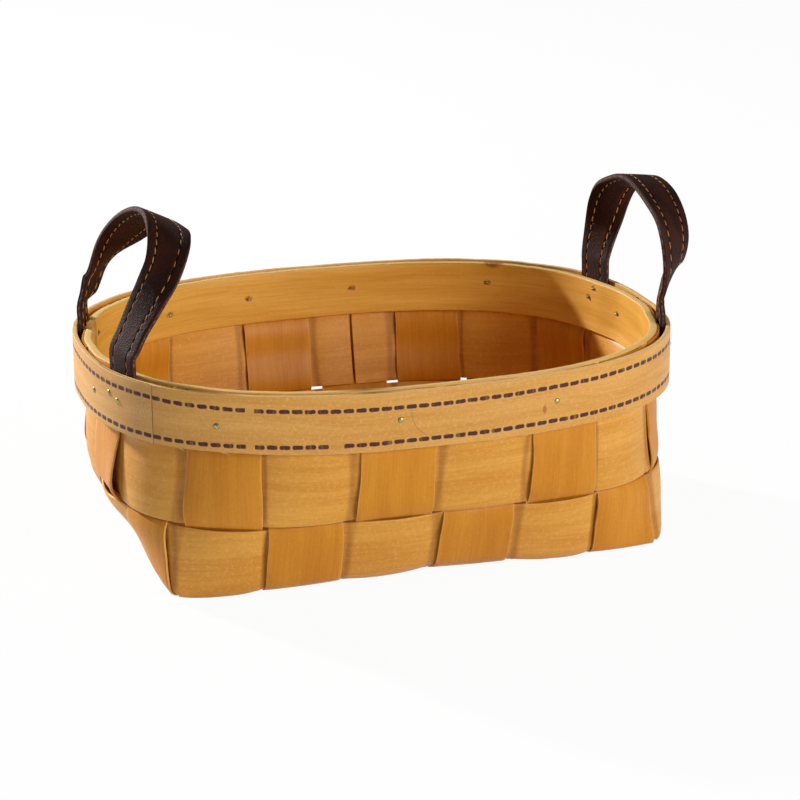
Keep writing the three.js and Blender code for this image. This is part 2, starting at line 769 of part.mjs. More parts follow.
function fromManifold(solid) {
  const mesh = solid.getMesh();
  const geometry = new THREE.BufferGeometry();
  geometry.setAttribute("position", new THREE.BufferAttribute(mesh.vertProperties, mesh.numProp));
  geometry.setIndex(new THREE.BufferAttribute(mesh.triVerts, 1));
  return geometry;
}

// Where a level line first meets one face of a hoop, with that facet's direction towards
// its farther end.
function faceAt(columns, key, start, direction) {
  const corners = columns.map((column) => column.point.clone().addScaledVector(column.normal, -column[key]));
  let found;
  corners.slice(1).forEach((end, index) => {
    const from = corners[index];
    const edge = end.clone().sub(from);
    const offset = from.clone().sub(start);
    const turned = direction.cross(edge);
    const distance = offset.cross(edge) / turned;
    const share = offset.cross(direction) / turned;
    const meets = share >= 0 && share <= 1 && distance > -nailHeadDiameter;
    if (meets && (!found || distance < found.distance)) {
      found = { distance, tangent: edge.normalize().multiplyScalar(share < 1 / 2 ? 1 : -1) };
    }
  });
  return found;
}

// Nails go through both hoops and what lies between them, and their tips are bent over
// on the inner hoop. Those of the walls have their place as a share of the way round the
// outer hoop and a share of the hoop's height.
const wallNailShares = [
  [0.0656, 0.512], [0.2687, 0.549], [0.3852, 0.628], [0.4748, 0.567], [0.5428, 0.535],
  [0.5997, 0.474], [0.7807, 0.512], [0.8779, 0.46], [0.976, 0.502],
];
const nailTopShare = 0.65;
const nailTipShare = 0.6;
const wallNails = wallNailShares.map(([place, rise]) => {
  const { point, normal } = ringPoint(hoopOutline, place * 4 * hoopOutline.quarter);
  return { point, normal, rise };
});
const footNails = handles.flatMap((handle) => [-1, 1].flatMap((sign) => {
  const centre = footDistance(footOutline, handle, footPlace(handle, sign));
  const shares = sign < 0 ? handle.frontNailShares : handle.rearNailShares;
  return shares.map(([offset, rise]) => {
    const { point, normal } = ringPoint(footOutline, centre + handle.end * offset * strapWidth);
    const away = slotAtEnds / 2 + outerHoopThickness;
    return { point: point.clone().addScaledVector(normal, away), normal, rise };
  });
}));
const nails = [...wallNails, ...footNails].map(({ point, normal, rise }) => {
  const inward = normal.clone().negate();
  const outside = faceAt(hoopColumns, "outer", point, inward);
  const inside = faceAt(innerColumns, "inner", point, inward);
  const axis = new THREE.Vector3(inward.x, inward.y, 0);
  const base = new THREE.Vector3(point.x, point.y, hoopBottom + rise * hoopHeight);
  return { axis, base, outside: outside.distance, inside: inside.distance, tangent: inside.tangent };
});

// A ring of points about a nail's axis, at a distance along it.
const nailRing = (nail, distance, radius, skew = 0) => Array.from({ length: nailSides }, (_, index) => {
  const angle = (index / nailSides) * 2 * Math.PI;
  const side = new THREE.Vector3(nail.tangent.x, nail.tangent.y, 0);
  const across = Math.cos(angle) * radius;
  return nail.base.clone()
    .addScaledVector(nail.axis, distance - skew * across)
    .addScaledVector(side, across)
    .add(new THREE.Vector3(0, 0, Math.sin(angle) * radius));
});

function nailGeometry(nail) {
  const radius = nailDiameter / 2;
  const seat = nail.outside - nailSeatGap;
  const bend = nail.inside + nailTailGap + radius;
  const corner = nailRing(nail, bend, radius, 1);
  const centre = nail.base.clone().addScaledVector(nail.axis, bend);
  const side = new THREE.Vector3(nail.tangent.x, nail.tangent.y, 0);
  const tip = corner.map((point) => {
    const section = point.clone().sub(centre);
    section.addScaledVector(side, -section.dot(side));
    return centre.clone().addScaledVector(side, nailTailLength).addScaledVector(section, nailTipShare);
  });
  return tubeGeometry([
    nailRing(nail, seat - nailHeadHeight, nailTopShare * nailHeadDiameter / 2),
    nailRing(nail, seat, nailHeadDiameter / 2),
    nailRing(nail, seat, radius),
    corner,
    tip,
  ]);
}

const nailHole = (nail) => toManifold(tubeGeometry([
  nailRing(nail, nail.outside - cutOverrun, nailDiameter / 2 + nailHoleGap),
  nailRing(nail, nail.inside + cutOverrun, nailDiameter / 2 + nailHoleGap),
]));

const group = new THREE.Group();
function addPart(name, geometry, finish) {
  const flat = geometry.index ? geometry.toNonIndexed() : geometry;
  flat.computeVertexNormals();
  const mesh = new THREE.Mesh(flat, finish);
  mesh.name = name;
  group.add(mesh);
}

// A piece between the nails' heads and tips, with their holes.
const holes = nails.map(nailHole);
function addNailed(name, geometry, finish) {
  const whole = toManifold(geometry);
  const cut = holes.reduce((solid, hole) => solid.subtract(hole), whole);
  addPart(name, fromManifold(cut), finish);
}

const crossWalls = [walls.front, walls.back];
const longWalls = [walls.left, walls.right];
crossStrips.forEach((strip) => {
  const depthAt = (number) => crossDepth(strip.number, number);
  addNailed(`cross_strip_${strip.number}`, stripGeometry(strip, crossWalls, longStrips, depthAt, false), crossWood);
});
longStrips.forEach((strip) => {
  const depthAt = (number) => longDepth(number, strip.number);
  addNailed(`long_strip_${strip.number}`, stripGeometry(strip, longWalls, crossStrips, depthAt, true), longWood);
});
const lastCross = crossStrips.length;
const lastLong = longStrips.length;
const lowerNumbers = { front: 0, back: lastLong + 1, left: 0, right: lastCross + 1 };
const upperNumbers = { front: -1, back: lastLong + 2, left: -1, right: lastCross + 2 };
const lowerSeamStrip = lastCross / 2;
const upperSeamStrip = lowerSeamStrip + 1;
addPart("lower_weaver", weaverGeometry(lowerDowns, lowerNumbers, lowerSeamStrip), weaverWood);
addPart("upper_weaver", weaverGeometry(upperDowns, upperNumbers, upperSeamStrip), weaverWood);
addNailed("outer_hoop", bandGeometry(hoopColumns, hoopBottom, height, hoopBevel), outerHoopWood);
addNailed("inner_hoop", bandGeometry(innerColumns, innerHoopBottom, height, innerHoopBevel), innerHoopWood);
handles.forEach((handle) => {
  addPart(`${handle.name}_handle_loop`, loopGeometry(handle), leather);
  addNailed(`${handle.name}_handle_front_foot`, footGeometry(handle, -1), leather);
  addNailed(`${handle.name}_handle_rear_foot`, footGeometry(handle, 1), leather);
});
nails.forEach((nail, index) => {
  addPart(`nail_${index + 1}`, nailGeometry(nail), brass);
});

export default group;
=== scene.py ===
# %% [markdown]
# # A storage basket of woven wood strips
# The basket is made of thin wood strips in a plain weave, held at the rim between two
# bentwood hoops, with a leather strap handle at each end. Blender starts from the packed
# CAD model, which stays where it is: it gives every piece its place and its moving body.

# %% Load the frame
import json
import math

import bmesh
import bpy
import numpy as np
from mathutils import Matrix, Vector

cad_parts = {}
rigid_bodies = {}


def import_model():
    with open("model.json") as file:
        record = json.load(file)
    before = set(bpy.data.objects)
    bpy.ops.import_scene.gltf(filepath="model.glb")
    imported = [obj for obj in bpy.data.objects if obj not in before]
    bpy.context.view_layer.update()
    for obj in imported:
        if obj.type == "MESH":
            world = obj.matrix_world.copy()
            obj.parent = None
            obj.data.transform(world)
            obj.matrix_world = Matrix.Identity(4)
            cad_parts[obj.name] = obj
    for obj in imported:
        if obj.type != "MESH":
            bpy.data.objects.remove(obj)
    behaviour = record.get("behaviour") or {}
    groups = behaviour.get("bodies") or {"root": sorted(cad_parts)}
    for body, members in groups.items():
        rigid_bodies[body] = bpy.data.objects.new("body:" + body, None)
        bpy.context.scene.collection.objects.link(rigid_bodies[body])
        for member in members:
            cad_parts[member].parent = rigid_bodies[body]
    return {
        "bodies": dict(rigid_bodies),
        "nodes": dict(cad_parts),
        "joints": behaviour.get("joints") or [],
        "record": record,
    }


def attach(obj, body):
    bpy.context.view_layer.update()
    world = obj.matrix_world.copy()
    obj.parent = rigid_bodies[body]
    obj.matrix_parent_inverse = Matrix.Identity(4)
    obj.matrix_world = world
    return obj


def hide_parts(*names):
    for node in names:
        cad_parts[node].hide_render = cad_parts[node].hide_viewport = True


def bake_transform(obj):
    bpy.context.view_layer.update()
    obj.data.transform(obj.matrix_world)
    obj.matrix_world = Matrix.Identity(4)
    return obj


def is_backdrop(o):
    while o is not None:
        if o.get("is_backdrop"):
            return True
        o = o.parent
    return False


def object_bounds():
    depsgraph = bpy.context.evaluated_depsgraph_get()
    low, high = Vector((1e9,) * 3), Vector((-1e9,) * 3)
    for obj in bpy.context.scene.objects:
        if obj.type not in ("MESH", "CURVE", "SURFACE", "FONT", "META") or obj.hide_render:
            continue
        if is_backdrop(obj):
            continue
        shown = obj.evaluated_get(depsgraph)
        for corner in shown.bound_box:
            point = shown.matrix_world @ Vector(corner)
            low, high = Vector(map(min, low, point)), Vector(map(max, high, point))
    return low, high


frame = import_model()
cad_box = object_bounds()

# %% [markdown]
# ## The camera
# The photograph was taken from the front, a little to the left and from above, with a
# long lens. A camera made from those angles and the distance shows the basket at the
# same size and place. The lens shift does what the cropped photograph does: it moves the
# picture without turning the camera.

# %% Camera
SENSOR = 36.0
LENS = 118.6
CAMERA_TURN = math.radians(-16.5)
CAMERA_RISE = math.radians(17.8)
CAMERA_ROLL = math.radians(-0.57)
CAMERA_DISTANCE = 1.018
TARGET = Vector((0, 0, 0.04))
LENS_SHIFT = (0.035, 0.02625)

to_camera = Vector((
    math.sin(CAMERA_TURN) * math.cos(CAMERA_RISE),
    -math.cos(CAMERA_TURN) * math.cos(CAMERA_RISE),
    math.sin(CAMERA_RISE),
))
side_way = to_camera.cross(Vector((0, 0, -1))).normalized()
up_way = to_camera.cross(side_way)
right = side_way * math.cos(CAMERA_ROLL) + up_way * math.sin(CAMERA_ROLL)
up = up_way * math.cos(CAMERA_ROLL) - side_way * math.sin(CAMERA_ROLL)
camera_data = bpy.data.cameras.new("camera")
camera_data.sensor_width = SENSOR
camera_data.lens = LENS
camera_data.shift_x, camera_data.shift_y = LENS_SHIFT
camera_data.clip_start = 0.05
camera = bpy.data.objects.new("camera", camera_data)
bpy.context.scene.collection.objects.link(camera)
turn = Matrix((right, up, to_camera)).transposed().to_4x4()
camera.matrix_world = Matrix.Translation(TARGET + to_camera * CAMERA_DISTANCE) @ turn
bpy.context.scene.camera = camera
print("camera at", tuple(round(v, 3) for v in camera.location))

# %% [markdown]
# ## Shader maths
# A material is a small calculation. Written as Python it reads like one: a socket wrapped
# in a class gets its own plus, minus and times, and each of them adds a Math node.

# %% A socket that can be calculated with
class Value:
    def __init__(self, tree, socket):
        self.tree = tree
        self.socket = socket

    def math(self, operation, *others):
        node = self.tree.nodes.new("ShaderNodeMath")
        node.operation = operation
        for slot, value in zip(node.inputs, others):
            connect(self.tree, slot, value)
        return Value(self.tree, node.outputs[0])

    def __add__(self, other):
        return self.math("ADD", self, other)

    def __sub__(self, other):
        return self.math("SUBTRACT", self, other)

    def __rsub__(self, other):
        return self.math("SUBTRACT", other, self)

    def __mul__(self, other):
        return self.math("MULTIPLY", self, other)

    def __truediv__(self, other):
        return self.math("DIVIDE", self, other)

    __radd__ = __add__
    __rmul__ = __mul__

    def absolute(self):
        return self.math("ABSOLUTE", self)

    def fraction(self):
        return self.math("FRACT", self)

    def root(self):
        return self.math("SQRT", self)

    def most(self, other):
        return self.math("MAXIMUM", self, other)

    def least(self, other):
        return self.math("MINIMUM", self, other)

    def ramp(self, low, high):
        """0 below low, 1 above high, smooth between."""
        node = self.tree.nodes.new("ShaderNodeMapRange")
        node.interpolation_type = "SMOOTHSTEP"
        connect(self.tree, node.inputs["Value"], self)
        node.inputs["From Min"].default_value = low
        node.inputs["From Max"].default_value = high
        return Value(self.tree, node.outputs["Result"])


def connect(tree, slot, value):
    if isinstance(value, Value):
        tree.links.new(value.socket, slot)
    elif isinstance(value, tuple) and len(value) == 3 and slot.type == "RGBA":
        slot.default_value = (*value, 1)
    else:
        slot.default_value = value


def linear(red, green, blue):
    """A colour as a paint chart gives it (0 to 255), as light."""
    def one(level):
        share = level / 255
        return share / 12.92 if share <= 0.04045 else ((share + 0.055) / 1.055) ** 2.4
    return (one(red), one(green), one(blue))


# %% A finish with its nodes
class Finish:
    def __init__(self, name):
        self.material = bpy.data.materials.new(name)
        self.material.use_nodes = True
        self.tree = self.material.node_tree
        self.shader = self.tree.nodes["Principled BSDF"]

    def node(self, kind, settings, values, output=0):
        node = self.tree.nodes.new(kind)
        for key, value in settings.items():
            setattr(node, key, value)
        for key, value in values.items():
            connect(self.tree, node.inputs[key], value)
        return Value(self.tree, node.outputs[output])

    def set(self, **values):
        for key, value in values.items():
            connect(self.tree, self.shader.inputs[key.replace("_", " ")], value)

    def split(self, vector):
        node = self.tree.nodes.new("ShaderNodeSeparateXYZ")
        connect(self.tree, node.inputs[0], vector)
        return [Value(self.tree, out) for out in node.outputs]

    def vector(self, x, y, z=0.0):
        return self.node("ShaderNodeCombineXYZ", {}, {0: x, 1: y, 2: z})

    def noise(self, vector, scale=1.0, detail=2.0, roughness=0.5):
        values = {"Vector": vector, "Scale": scale, "Detail": detail, "Roughness": roughness}
        return self.node("ShaderNodeTexNoise", {}, values)

    def mix(self, share, first, second):
        settings = {"data_type": "RGBA", "blend_type": "MIX"}
        return self.node("ShaderNodeMix", settings, {0: share, 6: first, 7: second}, 2)

    def bump(self, height, distance, strength):
        values = {"Height": height, "Distance": distance, "Strength": strength}
        return self.node("ShaderNodeBump", {}, values)

    def surface(self):
        """Across and along the piece, in millimetres, from its own map."""
        place = self.node("ShaderNodeUVMap", {"uv_map": "grain"}, {})
        across, along, _ = self.split(place)
        return across * 1000.0, along * 1000.0


print("shader helpers ready")

# %% [markdown]
# ## The wood
# The strips are peeled and sliced from a pale wood under a thin honey-coloured varnish.
# Close up they show fine fibres along the strip, short darker pores, and broad soft
# bands; lighter specks on them are a painted sheen. Every strip has its own map with real
# millimetres across and along, so the fibres follow it round each bend. A sawn edge takes
# up less varnish and stays paler, and where one strip dives under another, a painted brown
# shade darkens the crevice.

# %% Wood finish
def grain(finish, across, along, pale, deep, seed, speckle):
    """Colour, height and fibres of bare wood, with a painted speckled sheen."""
    wander = finish.noise(finish.vector(across * 0.02 + seed, along * 0.012), 1.0, 1.0) - 0.5
    lane = across + wander * 9.0
    bands = finish.noise(finish.vector(lane * 0.16 + seed, along * 0.011, seed), 1.0, 3.0)
    fibres = finish.noise(finish.vector(lane * 1.6, along * 0.045, seed), 1.0, 4.0, 0.65)
    pores = finish.noise(finish.vector(lane * 4.5, along * 0.35, seed), 1.0, 2.0)
    mottle_and_sheen = finish.noise(finish.vector(across * 0.9, along * 0.9, seed), 1.0, 3.0, 0.7)
    tone = bands.ramp(0.32, 0.68) * 0.55 + fibres.ramp(0.3, 0.72) * 0.45
    colour = finish.mix(tone, pale, deep)
    shade = tuple(level * 0.62 for level in deep)
    colour = finish.mix(pores.ramp(0.6, 0.76) * 0.45, colour, shade)
    light = tuple(min(level * 1.06 + 0.09, 1) for level in pale)
    # Painted sheen: the mottle lightens the colour in specks, for the satin shimmer of the varnish. Its height is a
    # real bump.
    colour = finish.mix(mottle_and_sheen.ramp(0.48, 0.72) * 0.5 * speckle, colour, light)
    return colour, fibres * 0.5 + pores * 0.35 + mottle_and_sheen * speckle, fibres


PALE_STRIP = linear(217, 146, 40)
DEEP_STRIP = linear(197, 121, 14)
# The weavers' colours are lighter than the strips': a painted sheen for the satin light on their crosswise grain.
PALE_WEAVER_SHEEN = linear(228, 166, 70)
DEEP_WEAVER_SHEEN = linear(208, 138, 44)
SAWN_EDGE = linear(226, 168, 96)
VARNISH_GLOSS = 0.28


def wood(name, pale, deep, half_width, seed, speckle):
    finish = Finish(name)
    across, along = finish.surface()
    colour, height, fibres = grain(finish, across, along, pale, deep, seed, speckle)
    rim = across.absolute().ramp(half_width - 0.4, half_width - 0.05)
    colour = finish.mix(rim * 0.75, colour, SAWN_EDGE)
    depth = finish.node("ShaderNodeAttribute", {"attribute_name": "depth"}, {}, 2)
    # Painted shade: a brown shade where a strip changes level beside a neighbour's edge, standing in for the shade
    # in the crevice.
    crevice_shade = 1 - (depth - 0.65).absolute().ramp(0.05, 0.38)
    colour = finish.mix(crevice_shade * 0.42, colour, linear(118, 48, 14))
    finish.set(
        Base_Color=colour,
        Roughness=fibres.ramp(0.2, 0.8) * 0.1 + 0.41,
        Normal=finish.bump(height, 0.00008, 0.6),
        Specular_IOR_Level=VARNISH_GLOSS,
    )
    return finish


print("wood finish ready")

# %% [markdown]
# ## The shape of the body
# The body is a shallow tray: an oval at the rim and a rounded rectangle at the floor. The
# same curve that the CAD model uses says where its outer face is, for any place across a
# wall and any distance down from the hoop. All strips are laid on this one surface.

# %% Hoop outlines
MM = 0.001
POWER = 2.52
HEIGHT = 80.0
HOOP_HEIGHT = 21.5
HOOP_THICKNESS = 1.8
STRIP = 0.8


def outline(half_length, half_width):
    angle = np.linspace(0, math.pi / 2, 1441)
    x = half_length * np.sin(angle) ** (2 / POWER)
    y = half_width * np.abs(np.cos(angle)) ** (2 / POWER)
    distance = np.r_[0, np.cumsum(np.hypot(np.diff(x), np.diff(y)))]
    return {"half": (half_length, half_width), "x": x, "y": y, "distance": distance}


def ring(shape, distance):
    """Points and outward normals round an outline, from the front middle towards +X."""
    quarter = shape["distance"][-1]
    around = np.mod(distance, 4 * quarter)
    quadrant = np.minimum((around // quarter).astype(int), 3)
    local = np.choose(quadrant, [
        around, 2 * quarter - around, around - 2 * quarter, 4 * quarter - around])
    x = np.interp(local, shape["distance"], shape["x"])
    y = np.interp(local, shape["distance"], shape["y"])
    normal_x = (x / shape["half"][0]) ** (POWER - 1) / shape["half"][0]
    normal_y = (y / shape["half"][1]) ** (POWER - 1) / shape["half"][1]
    size = np.hypot(normal_x, normal_y)
    sign_x = np.where(quadrant < 2, 1, -1)
    sign_y = np.where((quadrant == 1) | (quadrant == 2), 1, -1)
    points = np.stack([sign_x * x, sign_y * y], -1)
    return points, np.stack([sign_x * normal_x / size, sign_y * normal_y / size], -1)


HOOP = outline(112.5, 90.0)        # the outer hoop's outer face
STAKE = outline(107.3, 87.85)      # the strips between the hoops
FOOT = outline(109.0, 88.025)      # the middle of the straps' feet
STAKE_QUARTER = STAKE["distance"][-1]
CORNER = 0.595 * STAKE_QUARTER
print("rim length", round(4 * HOOP["distance"][-1]), "mm")

# %% The walls as tables
BODY_TOP = 58.0
FILLET = 3.4
SHARES = np.linspace(0, 1, 241)
DOWNS = np.arange(0, 200, 0.25)
CURVE_STEPS = 40


def bezier(a, b, c):
    t = np.linspace(0, 1, CURVE_STEPS + 1)[None, :, None]
    return a[:, None] * (1 - t) ** 2 + 2 * b[:, None] * t * (1 - t) + c[:, None] * t ** 2


def make_side(half_across, half_reach, span, lateral, reach, rim_half, flat, root, belly,
              root_height, bow_power, corner_belly, fold):
    """Tables of one wall's outer face, by share of its width and by way down from the top."""
    bow, slack = 1 - SHARES ** bow_power, 1 - SHARES

    def mix(corner, middle, along=bow):
        return corner + (middle - corner) * along

    zero = np.zeros_like(bow)
    toe = np.stack([mix(half_reach - FILLET, flat * rim_half, slack), zero], -1)
    heel = np.stack([mix(half_reach, root * rim_half), mix(0, root_height * BODY_TOP, slack)], -1)
    bulge = np.stack([
        mix(corner_belly * half_reach, belly * rim_half), mix(0.5, 0.466) * BODY_TOP,
    ], -1)
    join = heel + (bulge - heel) * mix(FILLET / (0.5 * BODY_TOP), fold, slack)[:, None]
    edge = np.stack([reach, zero + BODY_TOP], -1)
    upper = bezier(edge, bulge, join)
    lower = bezier(join, heel, toe)
    middle = np.zeros((len(SHARES), 1, 2))
    points = np.concatenate([upper, lower[:, 1:], middle], 1)
    steps = np.hypot(*np.moveaxis(np.diff(points, axis=1), -1, 0))
    distance = np.concatenate([np.zeros((len(SHARES), 1)), np.cumsum(steps, 1)], 1)
    side = {"half_across": half_across, "span": span, "lateral": lateral}
    side["reach"] = np.array([np.interp(DOWNS, d, p[:, 0]) for d, p in zip(distance, points)])
    side["height"] = np.array([np.interp(DOWNS, d, p[:, 1]) for d, p in zip(distance, points)])
    floor = [(d[CURVE_STEPS:][::-1], p[CURVE_STEPS:][::-1]) for d, p in zip(distance, points)]
    side["floor_down"] = np.array([np.interp(DOWNS, p[:, 0], d) for d, p in floor])
    side["lift"] = np.array([np.interp(DOWNS, p[:, 0], p[:, 1]) for _, p in floor])
    return side


def quarter_points(distance):
    return (np.interp(distance, STAKE["distance"], STAKE["x"]),
            np.interp(distance, STAKE["distance"], STAKE["y"]))


BASE_LENGTH, BASE_WIDTH = 187.8, 123.2
rim_x, rim_y = quarter_points(SHARES * CORNER)
LONG_SIDE = make_side(
    half_across=BASE_LENGTH / 2, half_reach=BASE_WIDTH / 2, span=CORNER,
    lateral=rim_x, reach=rim_y, rim_half=STAKE["half"][1], flat=0.6, root=0.797, belly=0.933,
    root_height=0.034, bow_power=4.5, corner_belly=0.995, fold=0.3)
rim_x, rim_y = quarter_points(STAKE_QUARTER - SHARES * (STAKE_QUARTER - CORNER))
SHORT_SIDE = make_side(
    half_across=BASE_WIDTH / 2, half_reach=BASE_LENGTH / 2, span=STAKE_QUARTER - CORNER,
    lateral=rim_y, reach=rim_x, rim_half=STAKE["half"][0], flat=0.8, root=0.941, belly=1.025,
    root_height=0.026, bow_power=3.5, corner_belly=0.997, fold=0.4)
LONG_SIDE["other"], SHORT_SIDE["other"] = SHORT_SIDE, LONG_SIDE
WALLS = {
    "front": (LONG_SIDE, lambda lateral, reach: (lateral, -reach)),
    "back": (LONG_SIDE, lambda lateral, reach: (lateral, reach)),
    "left": (SHORT_SIDE, lambda lateral, reach: (-reach, lateral)),
    "right": (SHORT_SIDE, lambda lateral, reach: (reach, lateral)),
}
print("walls ready")


# %% A point of the body
def look_up(table, share, place):
    row = np.clip(share, 0, 1) * (len(SHARES) - 1)
    column = np.clip(place / (DOWNS[1] - DOWNS[0]), 0, len(DOWNS) - 1.001)
    r, c = np.minimum(row.astype(int), len(SHARES) - 2), column.astype(int)
    fr, fc = row - r, column - c
    near = table[r, c] * (1 - fc) + table[r, c + 1] * fc
    far = table[r + 1, c] * (1 - fc) + table[r + 1, c + 1] * fc
    return near * (1 - fr) + far * fr


def smooth(value, low, high):
    t = np.clip((value - low) / (high - low), 0, 1)
    return t * t * (3 - 2 * t)


def body_point(wall, share, down):
    side, place = WALLS[wall]
    share, down = np.broadcast_arrays(np.asarray(share, float), np.asarray(down, float))
    away = np.minimum(np.abs(share), 1)
    reach = look_up(side["reach"], away, np.maximum(down, 0))
    height = np.where(down < 0, BODY_TOP - down, look_up(side["height"], away, np.maximum(down, 0)))
    rim = np.sign(share) * np.interp(away, SHARES, side["lateral"])
    climb = np.clip(height / BODY_TOP, 0, 1)
    lateral = share * side["half_across"] * (1 - climb) + rim * climb
    other = side["other"]
    lift = look_up(other["lift"], np.clip(reach / other["half_across"], 0, 1), np.abs(lateral))
    z = height + lift * (1 - smooth(climb, 0.05, 0.2))
    x, y = place(lateral, reach)
    return np.stack([x, y, z], -1)


def body_normal(wall, share, down):
    across = body_point(wall, share + 0.002, down) - body_point(wall, share - 0.002, down)
    along = body_point(wall, share, down + 0.3) - body_point(wall, share, down - 0.3)
    normal = np.cross(across, along)
    normal /= np.linalg.norm(normal, axis=-1, keepdims=True)
    inward = np.array([0, 0, BODY_TOP]) - body_point(wall, share, down)
    flip = np.where(np.sum(normal * inward, -1, keepdims=True) < 0, -1, 1)
    return normal * flip


def sunk(wall, share, down, depth):
    depth = np.asarray(depth)[..., None]
    return body_point(wall, share, down) + body_normal(wall, share, down) * depth


# %% [markdown]
# ## Sheets
# A strip is a long thin sheet. A bmesh grid gives its faces, each vertex is then moved to
# its place on the body, and Solidify and Bevel give it its thickness and softened edges.

# %% Sheet maker
SHEET_STEP = 1.6
SHEET_COLUMNS = 19
SHEET_BEVEL = 0.14


def link(obj):
    bpy.context.scene.collection.objects.link(obj)
    return obj


def sheet_mesh(name, points, across, along, facing, depth):
    """A grid of rows and columns laid on points (millimetres). facing gives, for each
    point, the way that the outside looks."""
    rows, columns = points.shape[:2]
    bm = bmesh.new()
    bmesh.ops.create_grid(bm, x_segments=columns - 1, y_segments=rows - 1, size=1)
    bm.verts.ensure_lookup_table()
    spots = np.array([v.co[:2] for v in bm.verts])
    column = np.rint((spots[:, 0] + 1) / 2 * (columns - 1)).astype(int)
    row = np.rint((spots[:, 1] + 1) / 2 * (rows - 1)).astype(int)
    for vert, place in zip(bm.verts, points[row, column] * MM):
        vert.co = place
    bm.normal_update()
    seen = np.array([v.normal[:] for v in bm.verts])
    if np.sum(seen * facing[row, column]) < 0:
        bmesh.ops.reverse_faces(bm, faces=bm.faces)
    mesh = bpy.data.meshes.new(name)
    bm.to_mesh(mesh)
    bm.free()
    corners = np.zeros(len(mesh.loops), int)
    mesh.loops.foreach_get("vertex_index", corners)
    layer = mesh.uv_layers.new(name="grain")
    uv = np.stack([across[row, column][corners], along[row, column][corners]], -1) * MM
    layer.data.foreach_set("uv", uv.ravel())
    level = mesh.attributes.new("depth", "FLOAT", "POINT")
    level.data.foreach_set("value", depth[row, column])
    return mesh


def thicken(obj):
    """Gives a sheet its thickness and soft edges, and applies both."""
    solid = obj.modifiers.new("thickness", "SOLIDIFY")
    solid.thickness = STRIP * MM
    solid.offset = -1
    edge = obj.modifiers.new("edges", "BEVEL")
    edge.width = SHEET_BEVEL * MM
    edge.segments = 1
    edge.limit_method = "ANGLE"
    edge.angle_limit = math.radians(55)
    graph = bpy.context.evaluated_depsgraph_get()
    mesh = bpy.data.meshes.new_from_object(obj.evaluated_get(graph))
    obj.modifiers.clear()
    obj.data = mesh
    mesh.shade_smooth()
    mesh.set_sharp_from_angle(angle=math.radians(45))


def hermite(knots, values, places):
    """A smooth curve through the knots that doesn't overshoot much."""
    knots, values = np.asarray(knots, float), np.asarray(values, float)
    slopes = np.diff(values) / np.diff(knots)
    steady = slopes[1:] * slopes[:-1] > 0
    tangent = np.r_[0, np.where(steady, 0.5 * (slopes[1:] + slopes[:-1]), 0), 0]
    index = np.clip(np.searchsorted(knots, places) - 1, 0, len(knots) - 2)
    width = knots[index + 1] - knots[index]
    t = np.clip((places - knots[index]) / width, 0, 1)
    return ((1 + 2 * t) * (1 - t) ** 2 * values[index]
            + t * (1 - t) ** 2 * width * tangent[index]
            + t * t * (3 - 2 * t) * values[index + 1]
            + t * t * (t - 1) * width * tangent[index + 1])


def wobble(seed, places, length, size):
    """Slow seeded waviness along a strip."""
    rng = np.random.default_rng(seed)
    total = np.zeros_like(places, float)
    for octave in range(4):
        phase, stretch = rng.uniform(0, 2 * math.pi), rng.uniform(0.75, 1.3)
        turns = places * 2 * math.pi * (octave + 1) / (length * stretch)
        total += np.sin(turns + phase) / (octave + 1)
    return total * size / 1.6


def lumped(deep, place, spread, lumps):
    """Lifts the sheet near each lump: its place along and across, its two sizes, its lift."""
    for at, across, long_size, wide_size, lift in lumps:
        deep = deep - lift * np.exp(-((place - at) / long_size) ** 2
                                    - ((spread - across) / wide_size) ** 2)
    return deep


print("sheet helpers ready")

# %% [markdown]
# A made basket departs from the even shape. Behind a strap's foot the hoops stand apart,
# and between the feet they are pressed together: there the inner hoop and the tops of the
# strips move out by the slack that the straps leave. The left end is rounder underneath,
# and the right end stands a little straighter.

# %% Uneven shape
SLACK_MIDDLE, SLACK_FEET = 3.0, 1.0
LEFT_MOVED_IN, LEFT_RAISED = 6.0, 5.5
RIGHT_OUT_LOW, RIGHT_IN_HIGH = 2.2, 2.4


def bell(value, centre, half):
    return np.exp(-((value - centre) / half) ** 2)


def settled(points):
    """Moves points of the even body (millimetres) to where the made basket has them."""
    x, y, z = np.moveaxis(points, -1, 0)
    slack = SLACK_MIDDLE + (SLACK_FEET - SLACK_MIDDLE) * smooth(np.abs(y), 8, 27)
    slack = slack * (1 - smooth(np.abs(y), 46, 64))
    rim = np.sign(x) * slack * smooth(z, 53, 64) * smooth(np.abs(x), 60, 90)
    middle = np.clip(1 - (y / 62) ** 2, 0, 1)
    left = middle * smooth(-x, 70, 99)
    moved_in = LEFT_MOVED_IN * left * (1 - smooth(z, 6, 36))
    raised = LEFT_RAISED * left * (1 - smooth(z, 6, 30))
    right = smooth(x, 75, 100)
    upright = right * (RIGHT_OUT_LOW * bell(z, 0, 9) - RIGHT_IN_HIGH * bell(z, 38, 16))
    return np.stack([x + rim + moved_in + upright, y, z + raised], -1)


print("left end moves to", settled(np.array([-101, 0, 6.6])).round(1))

# %% [markdown]
# ## The upright strips
# Ten strips make the floor and run up the walls: six across and four along. In a plain
# weave each strip goes over one neighbour and under the next. So its distance from the
# body's face changes along the way: proud in the middle of a crossing where it lies
# outside, and one thickness deeper where it lies inside. One long strip was pushed off its
# neighbour by a bulge, which leaves a dark slit beside it.

